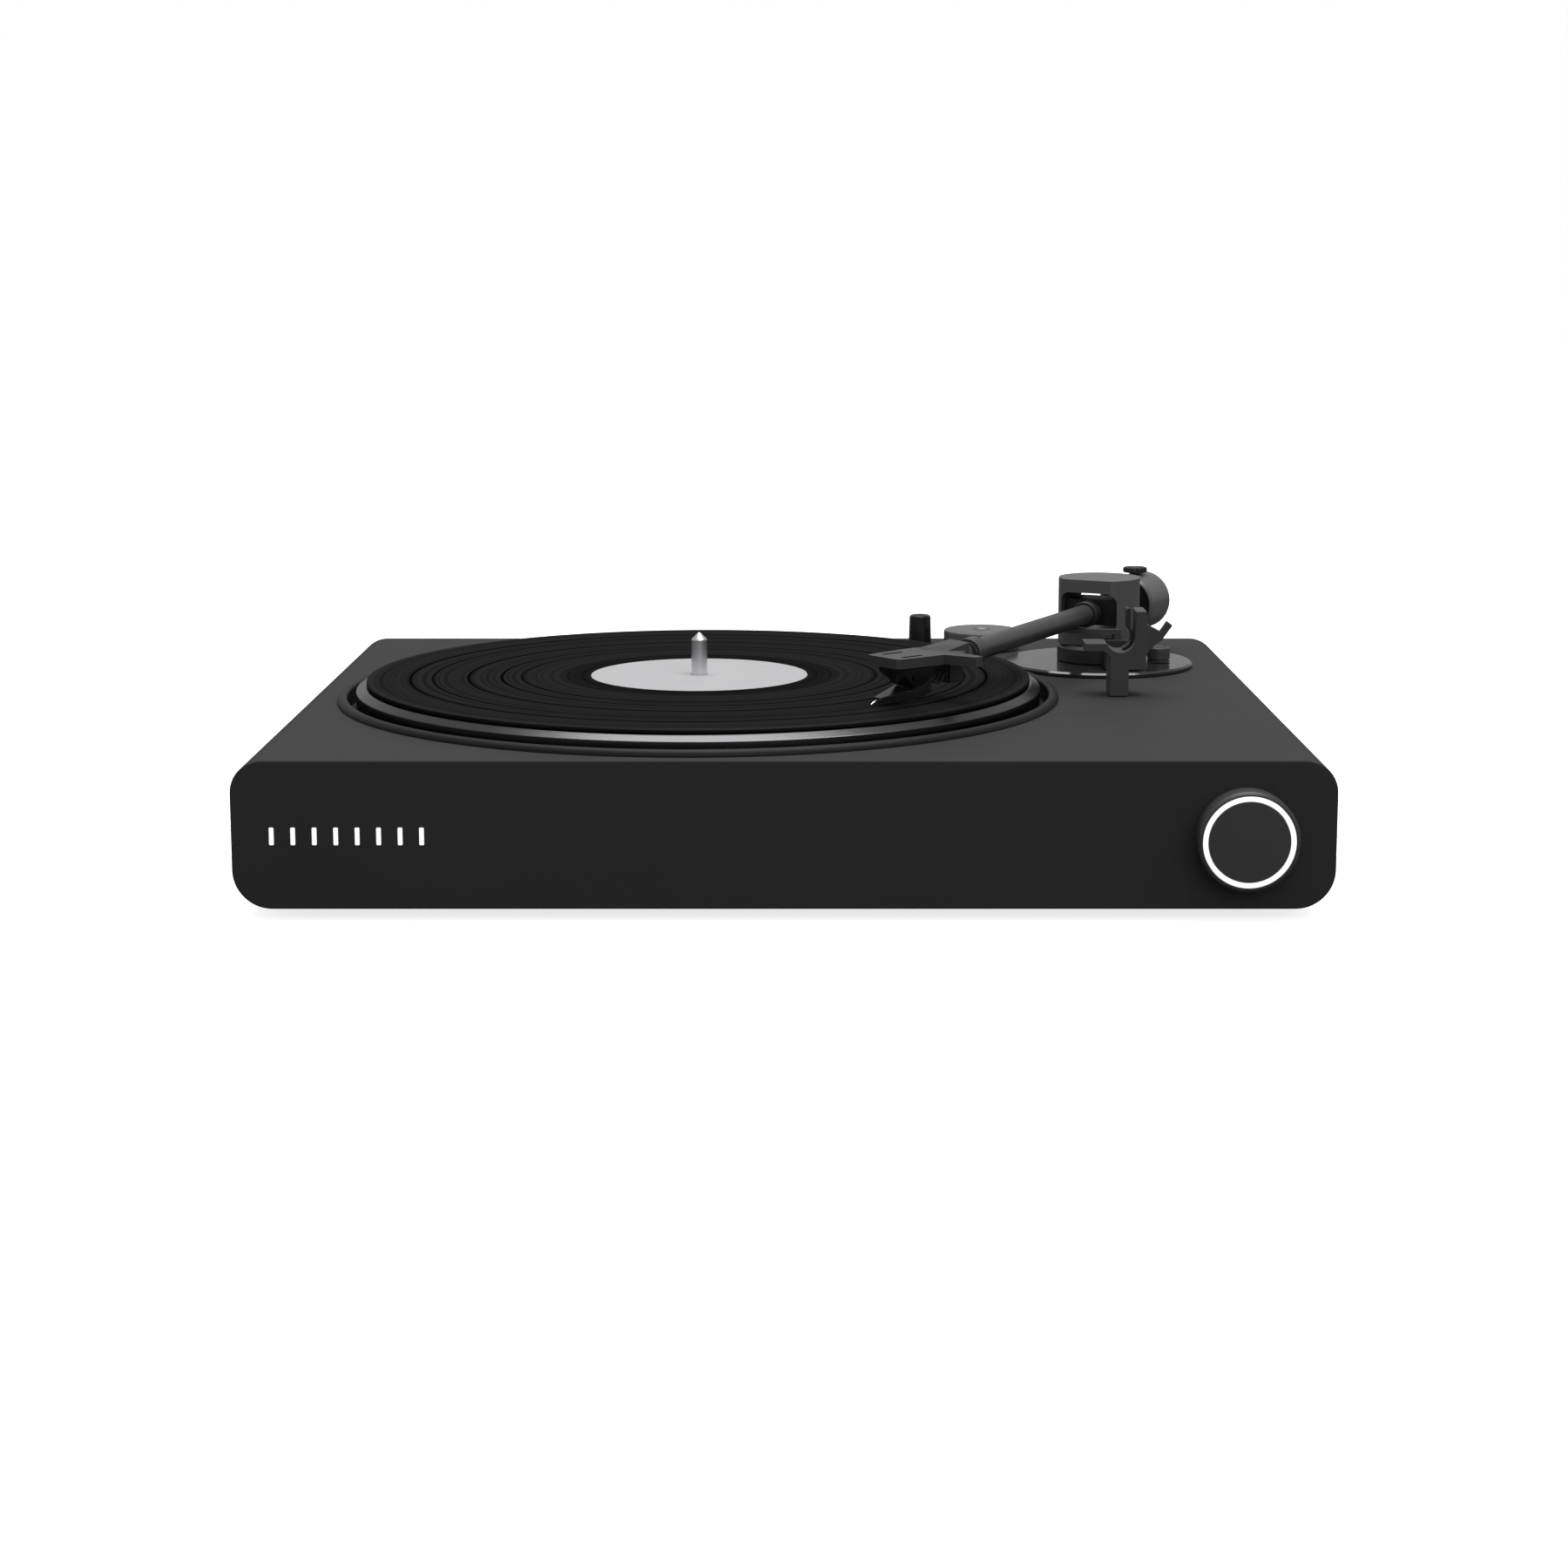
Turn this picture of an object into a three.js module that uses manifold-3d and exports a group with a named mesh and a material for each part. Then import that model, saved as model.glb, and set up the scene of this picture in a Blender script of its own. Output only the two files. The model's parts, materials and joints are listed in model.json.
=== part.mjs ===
// A belt-driven turntable: plinth, platter, tonearm and the controls on its deck.
// Millimetres, +Z up. The origin is under the middle of the whole object, on the table.
// Inside `deck`, X = 0 is the plinth's centre line, Y = 0 its front face and Z = 0 the deck's top.

import * as THREE from 'three';
import { mergeVertices } from 'three/addons/utils/BufferGeometryUtils.js';
import Module from 'manifold-3d';

const wasm = await Module();
wasm.setup();

// ---- driving dimensions ---------------------------------------------------------------

const seat = 0.3; // gap left between pieces that touch
const run = 0.35; // gap round anything that turns or slides

const plinth = { width: 445, depth: 356, height: 61, topRound: 13.5, bottomRound: 16, wall: 22, deck: 17 };
const foot = { radius: 17, height: 5, inset: 30, round: 1.5 };
const cover = { thickness: 2.5 };

const platter = { x: -39.8, y: 170.5, radius: 155.5, underside: -3, rim: 7.1, bevel: 4, bevelDrop: 2.05 };
const mat = { radius: 149.6, floor: 5.2, thickness: 1.6 };
const record = { radius: 150.8, bottom: 7.4, top: 9.25, edgeRound: 0.4 };
const label = { radius: 49.5, thickness: 0.35 };
const well = { gap: 4.3, depth: 5.5, pocketRadius: 115, pocketDepth: 12 };
const lip = { height: 2.9, width: 4.1, liner: 2, shoulder: 1.2, slope: 1.4 };
const spindle = { radius: 3.6, top: 25.4, tip: 28.4, tipRadius: 1.2, shaftRadius: 5, shaftBottom: -42 };
const bearing = { wall: 2, outer: 11.2, flange: 20, flangeThickness: 2.2, thrust: 3 };
const hub = { radius: 72, inner: 24, height: 5.4 };
const pulley = { radius: 7, height: 5.4, shaft: 1.5, dx: -66, dy: 82, shaftDrop: 11, clearance: 3 };
const belt = { thickness: 0.9, height: 3.6 };
const motor = { radius: 18, height: 28, plate: 64, plateThickness: 2 };

const knob = { x: 185.5, z: -31, radius: 20.5, standOut: 12, travel: 1.2, chamfer: 1.2 };
const ring = { outer: 18.7, inner: 16.5, depth: 3 };
const knobShaft = { radius: 3, inKnob: 7, inEncoder: 8 };
const encoder = { size: 15, depth: 12 };

const pivot = { x: 151.9, y: 260.8, z: 27, swing: 26.5 };
const basePlate = { radius: 45.7, thickness: 2.3, bevel: 0.9 };
const pedestal = { radius: 20, top: 11.1, chamfer: 1.5 };
const swingShaft = { radius: 4.6, bottom: -14 };
const yoke = { radius: 19.7, bottom: 11.4, top: 43.3, flat: 15.8 };
const yokeWindow = { width: 31, sill: 18, head: 37, round: 3.5 };
const pin = { radius: 2.4, inner: 9, outer: 19.2 };
const block = { width: 27, length: 18, height: 14 };
const tube = { radius: 4.85, bend: 164.7, headGap: 2.6, inBlock: 4 };
const collar = { radius: 6.3, start: 13, length: 7 };
const headCollar = { radius: 6.3, length: 8.4, lap: 1 };
const stub = { radius: 4.2, end: 57 };
const weight = { radius: 14.3, start: 37, length: 27, drop: 1.5, chamfer: 1 };
const thumb = { capRadius: 6, capHeight: 2.5, neck: 0.4, neckRadius: 5, shank: 2.3, chamfer: 0.4 };

const head = { turn: 23.5, front: 48, back: 16, width: 20.6, rear: 24, top: 2.8, thickness: 4.2 };
const neck = { width: 11, length: 8 };
const fingerLift = { reach: 26.4, front: 22, back: 13, sweep: 4, corner: 1 };
const slot = { length: 12, width: 1.9, recessWidth: 2.3, recess: 2.2, pitch: 12.7, back: 31 };
const cartridge = {
  width: 16, gap: 0.3, joint: -11, front: 43, back: 25, chin: 8, brow: 2.5, heel: 4, bore: 6,
};
const stylus = {
  tip: 54.6, clear: 0.3, nose: 51, noseLift: 1, noseHeight: 2.2, noseWidth: 4,
  width: 14, heel: 2, keel: 8, tail: 3.5, taper: 12,
};
const cantilever = { radius: 0.4 };
const screw = { headHeight: 1.4, shank: 0.85, length: 4.7, headPlay: 0.15 };
const terminal = { width: 12, length: 8, height: 8.8, x: 3, back: 13 };
const lead = { radius: 0.45, pitch: 2.6, sag: 4.2, comb: 1, drop: 2 };
const cartridgeTop = head.top - head.thickness - cartridge.gap;

const rest = { front: 161.6, depth: 16, post: 8.6, postShift: 0.4, step: 12.3, top: 39.2 };
const horn = { reach: 16.1, thickness: 3.6, fillet: 4 };
const cradle = { radius: 6.6, wall: 4.1, right: 11.7 };
const clip = { inner: 5.3, outer: 6.2, length: 6, tab: 13, tabWidth: 1.8, from: -75, to: 38, overlap: 14 };
const lift = { radius: 29.5, width: 4, thickness: 2.2, gap: 0.5, from: -14, to: 36.5 };
const stem = { radius: 2.2, drop: 13, angle: lift.from + 3 };
const tower = { left: -6, right: 12, front: 6, back: 6, top: 17, leverInset: 5 };
const lever = { thickness: 3, hub: 6, z: 10, shaft: 2, shaftLength: 6 };
const dial = {
  x: 180.5, y: 253, radius: 5.5, top: 10, groove: 0.6, grooveStart: 0.8, grooveEnd: 1.6, chamfer: 0.6,
};
const adapter = { x: 98.2, y: 317.7, radius: 19, top: 10, peg: 3.3, pegDrop: 0.5, chamfer: 0.8 };
const selector = { x: 67.5, y: 328, foot: 5.85, head: 5.4, top: 16, stem: 2.5, stemDrop: 19, chamfer: 0.8 };

const rear = { x: 60, z: -33, width: 160, height: 38, thickness: 2, margin: 5, standOut: 4 };
const socket = { radius: 5, bore: 1.7, boreDepth: 9, inside: 8, spacing: 16, x: -50 };
const inlet = { x: 60, width: 12, height: 10, bore: 2.8, boreDepth: 8, standOut: 1.2, inside: 10 };
const ground = { x: -70, shank: 2.4, cap: 4.6, inside: 6 };
const preamp = { x: 10, width: 4, height: 4, travel: 2, standOut: 2.4, inside: 4 };
const board = {
  width: 150, length: 60, thickness: 1.6, y: 296, lift: 3.2, standoffRadius: 3, standoffInset: 6,
};

// ---- finishes ---------------------------------------------------------------------------

const finish = (color, roughness, metalness) =>
  new THREE.MeshStandardMaterial({ color, roughness, metalness });
const satinBlack = () => finish(0x3a3a3b, 0.5, 0.1);
const softBlack = () => finish(0x1b1b1c, 0.6, 0);
const armBlack = () => finish(0x2c2c2e, 0.4, 0.4);
const steel = () => finish(0xb9bbbd, 0.3, 0.9);
const rubber = () => finish(0x141414, 0.9, 0);

// ---- geometry helpers -------------------------------------------------------------------

const rad = THREE.MathUtils.degToRad;

// Turns a profile of [radius, height] points, listed anticlockwise, about Z.
function turned(profile, sides = 24) {
  const points = profile.map(([r, z]) => new THREE.Vector2(r, z));
  return new THREE.LatheGeometry(points, sides).rotateX(Math.PI / 2);
}

const disc = (radius, bottom, top, sides = 16) =>
  turned([[0, bottom], [radius, bottom], [radius, top], [0, top]], sides);

const washer = (inner, outer, bottom, top, sides) =>
  turned([[inner, bottom], [outer, bottom], [outer, top], [inner, top], [inner, bottom]], sides);

function block3(width, depth, height, x = 0, y = 0, z = 0) {
  return new THREE.BoxGeometry(width, depth, height).translate(x, y, z);
}

// Extrudes a plan outline from `bottom` to `top`.
function plan(shape, bottom, top, curveSegments = 8) {
  const options = { depth: top - bottom, bevelEnabled: false, curveSegments };
  return new THREE.ExtrudeGeometry(shape, options).translate(0, 0, bottom);
}

// Extrudes a front-view outline (x, z) backwards from `front` to `back`.
function elevation(shape, front, back, curveSegments = 8) {
  const options = { depth: back - front, bevelEnabled: false, curveSegments };
  return new THREE.ExtrudeGeometry(shape, options).rotateX(Math.PI / 2).translate(0, back, 0);
}

const outline = (points) => new THREE.Shape(points.map(([x, y]) => new THREE.Vector2(x, y)));

// A rectangle whose lower and upper corners have their own radii.
function roundedRectangle(left, bottom, right, top, lower, upper) {
  const shape = new THREE.Shape();
  shape.moveTo(left + lower, bottom);
  shape.absarc(right - lower, bottom + lower, lower, -Math.PI / 2, 0);
  shape.absarc(right - upper, top - upper, upper, 0, Math.PI / 2);
  shape.absarc(left + upper, top - upper, upper, Math.PI / 2, Math.PI);
  shape.absarc(left + lower, bottom + lower, lower, Math.PI, 1.5 * Math.PI);
  return shape;
}

function toSolid(geometry) {
  const bare = geometry.clone();
  bare.deleteAttribute('normal');
  bare.deleteAttribute('uv');
  const merged = mergeVertices(bare, 1e-4);
  const triVerts = new Uint32Array(merged.index.array);
  const vertProperties = merged.attributes.position.array;
  return new wasm.Manifold(new wasm.Mesh({ numProp: 3, vertProperties, triVerts }));
}

function toGeometry(solid) {
  const mesh = solid.getMesh();
  const geometry = new THREE.BufferGeometry();
  geometry.setAttribute('position', new THREE.BufferAttribute(new Float32Array(mesh.vertProperties), 3));
  geometry.setIndex(new THREE.BufferAttribute(new Uint32Array(mesh.triVerts), 1));
  geometry.computeVertexNormals();
  return geometry;
}

const cut = (body, ...tools) =>
  toGeometry(tools.reduce((solid, tool) => solid.subtract(toSolid(tool)), toSolid(body)));
const join = (...pieces) => toGeometry(pieces.map(toSolid).reduce((sum, piece) => sum.add(piece)));
const common = (a, b) => toGeometry(toSolid(a).intersect(toSolid(b)));

function add(parent, name, geometry, material) {
  const mesh = new THREE.Mesh(geometry, material);
  mesh.name = name;
  parent.add(mesh);
  return mesh;
}

function groupAt(parent, x, y, z, turnDegrees = 0) {
  const group = new THREE.Group();
  group.position.set(x, y, z);
  group.rotation.z = rad(turnDegrees);
  parent.add(group);
  return group;
}

// ---- frame of the whole object ----------------------------------------------------------

const turntable = new THREE.Group();
const centreY = (plinth.depth + rear.standOut - knob.standOut) / 2;
const deck = groupAt(turntable, 0, -centreY, foot.height + plinth.height);
const underside = -plinth.height;
const wellRadius = platter.radius + well.gap;
const lipFoot = wellRadius + lip.liner;
const socketX = [rear.x + socket.x, rear.x + socket.x + socket.spacing];

// ---- plinth, cover and feet -------------------------------------------------------------

function buildPlinth() {
  const half = plinth.width / 2;
  const body = elevation(
    roundedRectangle(-half, underside, half, 0, plinth.bottomRound, plinth.topRound), 0, plinth.depth);
  const bayWidth = plinth.width - 2 * plinth.wall;
  const bayDepth = plinth.depth - 2 * plinth.wall;
  const bayHeight = plinth.height - plinth.deck;
  const over = 1;
  const middleY = plinth.depth / 2;
  const bay = block3(bayWidth, bayDepth, bayHeight + over, 0, middleY, underside + (bayHeight - over) / 2);
  const dish = disc(lipFoot + seat, -well.depth, over, 60).translate(platter.x, platter.y, 0);
  const pocket = disc(well.pocketRadius, -well.pocketDepth, over, 32).translate(platter.x, platter.y, 0);
  const bearingHole = disc(bearing.outer + seat, -plinth.deck - over, 0, 24)
    .translate(platter.x, platter.y, 0);
  const through = (x, y, radius) => disc(radius, -plinth.deck - over, over, 20).translate(x, y, 0);
  const motorHole = through(platter.x + pulley.dx, platter.y + pulley.dy, pulley.shaft + pulley.clearance);
  const armHole = through(pivot.x, pivot.y, swingShaft.radius + run);
  const selectorHole = through(selector.x, selector.y, selector.stem + run);
  const knobHole = disc(knobShaft.radius + run, -over, plinth.wall + over, 20)
    .rotateX(-Math.PI / 2).translate(knob.x, 0, knob.z);
  const backFace = plinth.depth;
  const recess = block3(rear.width + 2 * seat, 2 * (rear.thickness + seat), rear.height + 2 * seat,
    rear.x, backFace, rear.z);
  const windowWidth = rear.width - 2 * rear.margin;
  const windowHeight = rear.height - 2 * rear.margin;
  const window = block3(windowWidth, plinth.wall + 2 * over, windowHeight,
    rear.x, backFace - plinth.wall / 2, rear.z);
  add(deck, 'plinth', cut(body, bay, dish, pocket, bearingHole, motorHole, armHole, selectorHole, knobHole,
    recess, window), satinBlack());
}

function buildCoverAndFeet() {
  const width = plinth.width - 2 * plinth.wall - 2 * seat;
  const depth = plinth.depth - 2 * plinth.wall - 2 * seat;
  add(deck, 'bottom_cover', block3(width, depth, cover.thickness, 0, plinth.depth / 2,
    underside + cover.thickness / 2), softBlack());
  const footX = width / 2 - foot.inset;
  const footY = depth / 2 - foot.inset;
  const corners = { front_left: [-1, -1], front_right: [1, -1], back_left: [-1, 1], back_right: [1, 1] };
  for (const [corner, [sideX, sideY]] of Object.entries(corners)) {
    const profile = [[0, -foot.height], [foot.radius - foot.round, -foot.height],
      [foot.radius, foot.round - foot.height], [foot.radius, -seat], [0, -seat]];
    const rubberFoot = turned(profile, 20);
    rubberFoot.translate(sideX * footX, plinth.depth / 2 + sideY * footY, underside);
    add(deck, `foot_${corner}`, rubberFoot, rubber());
  }
}

// The raised ring lines the platter's well and stands proud of the deck.
function buildWellRing() {
  const outer = wellRadius + lip.width;
  const bottom = seat - well.depth;
  const profile = [[wellRadius, bottom], [lipFoot, bottom], [lipFoot, seat], [outer, seat],
    [outer, lip.shoulder], [outer - lip.slope, lip.height], [wellRadius, lip.height], [wellRadius, bottom]];
  add(deck, 'well_ring', turned(profile, 60).translate(platter.x, platter.y, 0), softBlack());
}

// ---- platter, record and bearing --------------------------------------------------------

function buildPlatter() {
  const centre = groupAt(deck, platter.x, platter.y, 0);
  const holeRadius = spindle.shaftRadius + seat;
  const recess = mat.radius + seat;
  const bevelInner = platter.radius - platter.bevel;
  const bevelFoot = platter.rim - platter.bevelDrop;
  add(centre, 'platter', turned([[holeRadius, platter.underside], [platter.radius, platter.underside],
    [platter.radius, bevelFoot], [bevelInner, platter.rim], [recess, platter.rim], [recess, mat.floor],
    [holeRadius, mat.floor], [holeRadius, platter.underside]], 60), finish(0x4a4a4c, 0.45, 0.5));
  const centreHole = spindle.radius + seat;
  const matBottom = mat.floor + seat / 2;
  add(centre, 'slipmat', washer(centreHole, mat.radius, matBottom, matBottom + mat.thickness, 36), rubber());
  const labelBed = label.radius + seat;
  const bedHeight = record.top - label.thickness - seat / 3;
  const edge = record.radius - record.edgeRound;
  add(centre, 'record', turned([[centreHole, record.bottom], [edge, record.bottom],
    [record.radius, record.bottom + record.edgeRound], [record.radius, record.top - record.edgeRound],
    [edge, record.top], [labelBed, record.top], [labelBed, bedHeight], [centreHole, bedHeight],
    [centreHole, record.bottom]], 60), finish(0x2e2e30, 0.35, 0));
  add(centre, 'record_label', washer(centreHole, label.radius, record.top - label.thickness, record.top, 32),
    finish(0xc6c6c4, 0.7, 0));
  const shoulder = mat.floor - seat;
  add(centre, 'spindle', turned([[0, spindle.shaftBottom], [spindle.shaftRadius, spindle.shaftBottom],
    [spindle.shaftRadius, shoulder], [spindle.radius, shoulder], [spindle.radius, spindle.top],
    [spindle.tipRadius, spindle.tip], [0, spindle.tip]], 24), steel());
  const hubTop = platter.underside - seat;
  add(centre, 'drive_hub', washer(hub.inner, hub.radius, hubTop - hub.height, hubTop, 36), softBlack());
}

function buildBearing() {
  const centre = groupAt(deck, platter.x, platter.y, 0);
  const bushInner = spindle.shaftRadius + run;
  const bushOuter = bushInner + bearing.wall;
  const housingInner = bushOuter + seat;
  const flangeBottom = seat - well.pocketDepth;
  const flangeTop = flangeBottom + bearing.flangeThickness;
  const thrustTop = spindle.shaftBottom - run;
  const bottom = thrustTop - bearing.thrust;
  add(centre, 'bearing_housing', turned([[0, bottom], [bearing.outer, bottom], [bearing.outer, flangeBottom],
    [bearing.flange, flangeBottom], [bearing.flange, flangeTop], [housingInner, flangeTop],
    [housingInner, thrustTop], [0, thrustTop]], 20), steel());
  add(centre, 'bearing_bush', washer(bushInner, bushOuter, thrustTop + seat, flangeTop, 20),
    finish(0xa9762f, 0.4, 0.9));
}

function buildDrive() {
  const hubTop = platter.underside - seat;
  const midHeight = hubTop - hub.height / 2;
  const motorAt = groupAt(deck, platter.x + pulley.dx, platter.y + pulley.dy, 0);
  const pulleyBottom = hubTop - pulley.height;
  const shaftBottom = -plinth.deck - pulley.shaftDrop;
  add(motorAt, 'motor_pulley', turned([[0, shaftBottom], [pulley.shaft, shaftBottom],
    [pulley.shaft, pulleyBottom], [pulley.radius, pulleyBottom], [pulley.radius, hubTop], [0, hubTop]], 24),
    finish(0xa9762f, 0.4, 0.9));
  const plateTop = -plinth.deck - seat;
  const plateBottom = plateTop - motor.plateThickness;
  const boreRadius = pulley.shaft + run;
  const plate = block3(motor.plate, motor.plate, motor.plateThickness, 0, 0, (plateTop + plateBottom) / 2);
  add(motorAt, 'motor_mount', cut(plate, disc(boreRadius, plateBottom - 1, plateTop + 1, 16)), steel());
  const motorTop = plateBottom - seat;
  const boreBottom = shaftBottom - seat;
  add(motorAt, 'motor_body', turned([[0, motorTop - motor.height], [motor.radius, motorTop - motor.height],
    [motor.radius, motorTop], [boreRadius, motorTop], [boreRadius, boreBottom], [0, boreBottom]], 20),
    steel());
  add(deck, 'drive_belt', buildBelt(midHeight), rubber());
}

// The belt: two arcs joined by the tangents of the hub and the pulley.
function buildBelt(midHeight) {
  const bottom = midHeight - belt.height / 2;
  const hubCircle = { x: platter.x, y: platter.y, radius: hub.radius + run };
  const pulleyCircle = { x: platter.x + pulley.dx, y: platter.y + pulley.dy, radius: pulley.radius + run };
  const heading = Math.atan2(pulley.dy, pulley.dx);
  const spread = Math.acos((hub.radius - pulley.radius) / Math.hypot(pulley.dx, pulley.dy));
  const loop = (shape, extra) => {
    const big = hubCircle.radius + extra;
    const small = pulleyCircle.radius + extra;
    shape.absarc(hubCircle.x, hubCircle.y, big, heading + spread, heading - spread + 2 * Math.PI);
    shape.absarc(pulleyCircle.x, pulleyCircle.y, small, heading - spread, heading + spread);
    shape.closePath();
    return shape;
  };
  const outer = loop(new THREE.Shape(), belt.thickness);
  outer.holes.push(loop(new THREE.Path(), 0));
  return plan(outer, bottom, bottom + belt.height, 16);
}

// ---- front knob -------------------------------------------------------------------------

// Turned about Z with its face up, then laid down so that the face looks forwards.
function buildKnob() {
  const axle = groupAt(deck, knob.x, 0, knob.z);
  const faceOn = (geometry) => geometry.rotateX(Math.PI / 2);
  const back = knob.travel + seat * 2;
  const face = knob.standOut;
  const shaftBore = knobShaft.radius + seat;
  const boreEnd = back + knobShaft.inKnob + knob.travel + seat;
  const grooveFloor = face - ring.depth;
  add(axle, 'knob_body', faceOn(turned([[0, boreEnd], [shaftBore, boreEnd], [shaftBore, back],
    [knob.radius, back], [knob.radius, face - knob.chamfer], [knob.radius - knob.chamfer, face],
    [ring.outer, face], [ring.outer, grooveFloor], [ring.inner, grooveFloor], [ring.inner, face],
    [0, face]], 36)), softBlack());
  add(axle, 'knob_light_ring', faceOn(washer(ring.inner + seat / 2, ring.outer - seat / 2,
    grooveFloor + seat, face, 36)), finish(0xf6f6f6, 0.4, 0));
  const shaftInner = -plinth.wall - seat - knobShaft.inEncoder;
  add(axle, 'knob_shaft', faceOn(disc(knobShaft.radius, shaftInner, back + knobShaft.inKnob, 20)), steel());
  const encoderFront = plinth.wall + seat;
  const bore = faceOn(disc(knobShaft.radius + run, shaftInner - run, 0, 16));
  const box = block3(encoder.size, encoder.depth, encoder.size, 0, encoderFront + encoder.depth / 2, 0);
  add(axle, 'knob_encoder', cut(box, bore), finish(0x2b5c3a, 0.6, 0));
}

// ---- tonearm ----------------------------------------------------------------------------

function buildArmBase() {
  const centre = groupAt(deck, pivot.x, pivot.y, 0);
  const hole = swingShaft.radius + run;
  const plateTop = seat + basePlate.thickness;
  add(centre, 'arm_base_plate', turned([[hole, seat], [basePlate.radius, seat],
    [basePlate.radius, plateTop - basePlate.bevel], [basePlate.radius - basePlate.bevel, plateTop],
    [hole, plateTop], [hole, seat]], 40), finish(0x232325, 0.15, 0.2));
  add(centre, 'arm_pedestal', turned([[hole, plateTop + seat], [pedestal.radius, plateTop + seat],
    [pedestal.radius, pedestal.top - pedestal.chamfer], [pedestal.radius - pedestal.chamfer, pedestal.top],
    [hole, pedestal.top], [hole, plateTop + seat]], 28), softBlack());
}

function buildYoke(arm) {
  const bottom = yoke.bottom - pivot.z;
  const top = yoke.top - pivot.z;
  const housing = disc(yoke.radius, bottom, top, 36);
  const span = 2 * yoke.radius;
  const front = block3(2 * span, span, 2 * span, 0, -yoke.flat - yoke.radius, 0);
  const halfWindow = yokeWindow.width / 2;
  const window = elevation(roundedRectangle(-halfWindow, yokeWindow.sill - pivot.z, halfWindow,
    yokeWindow.head - pivot.z, yokeWindow.round, yokeWindow.round), -span, span, 4);
  const pinHole = disc(pin.radius + seat, -span, span, 16).rotateY(Math.PI / 2);
  add(arm, 'yoke', cut(housing, front, window, pinHole), armBlack());
  for (const [side, sign] of [['left', -1], ['right', 1]]) {
    const pivotPin = disc(pin.radius, pin.inner, pin.outer, 16).rotateY(sign * Math.PI / 2);
    add(arm, `pivot_pin_${side}`, pivotPin, steel());
  }
  add(arm, 'swing_shaft', disc(swingShaft.radius, swingShaft.bottom - pivot.z, bottom - seat, 20), steel());
}

function buildArmTube(arm) {
  const along = (geometry) => geometry.rotateX(Math.PI / 2);
  const bearingBlock = block3(block.width, block.length, block.height);
  const tubeBore = along(disc(tube.radius + seat, 0, block.length, 20));
  const stubBore = along(disc(stub.radius + seat, -block.length, 0, 20));
  const pinBore = disc(pin.radius + run, -block.width, block.width, 16).rotateY(Math.PI / 2);
  add(arm, 'bearing_block', cut(bearingBlock, tubeBore, stubBore, pinBore), softBlack());
  const tubeEnd = tube.bend - tube.headGap;
  add(arm, 'arm_tube', along(disc(tube.radius, tube.inBlock, tubeEnd, 24)), armBlack());
  add(arm, 'arm_collar', along(washer(tube.radius + seat, collar.radius, collar.start,
    collar.start + collar.length, 24)), armBlack());
  add(arm, 'headshell_collar', along(washer(tube.radius + seat, headCollar.radius,
    tubeEnd - headCollar.length, tubeEnd, 24)), armBlack());
  add(arm, 'rear_stub', along(disc(stub.radius, -stub.end, -tube.inBlock, 20)), steel());
}

function buildCounterweight(arm) {
  const back = weight.start + weight.length;
  const middle = weight.start + weight.length / 2;
  const bore = stub.radius + run;
  const turnedWeight = turned([[0, -back], [weight.radius - weight.chamfer, -back],
    [weight.radius, weight.chamfer - back], [weight.radius, -weight.chamfer - weight.start],
    [weight.radius - weight.chamfer, -weight.start], [0, -weight.start]], 28);
  const body = turnedWeight.rotateX(Math.PI / 2).translate(0, 0, -weight.drop);
  const stubBore = disc(bore, -back - 1, 1 - weight.start, 20).rotateX(Math.PI / 2);
  const screwHole = disc(thumb.shank + seat, 0, 2 * weight.radius, 16).translate(0, middle, 0);
  add(arm, 'counterweight', cut(body, stubBore, screwHole), finish(0x39393b, 0.4, 0.4));
  const neckBottom = weight.radius - weight.drop + seat;
  const capBottom = neckBottom + thumb.neck;
  const capTop = capBottom + thumb.capHeight;
  const shankBottom = stub.radius + seat;
  add(arm, 'counterweight_thumbscrew', turned([[0, shankBottom], [thumb.shank, shankBottom],
    [thumb.shank, neckBottom], [thumb.neckRadius, neckBottom], [thumb.neckRadius, capBottom],
    [thumb.capRadius, capBottom], [thumb.capRadius, capTop - thumb.chamfer],
    [thumb.capRadius - thumb.chamfer, capTop], [0, capTop]], 20).translate(0, middle, 0), softBlack());
}

// ---- headshell and cartridge ------------------------------------------------------------

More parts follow.
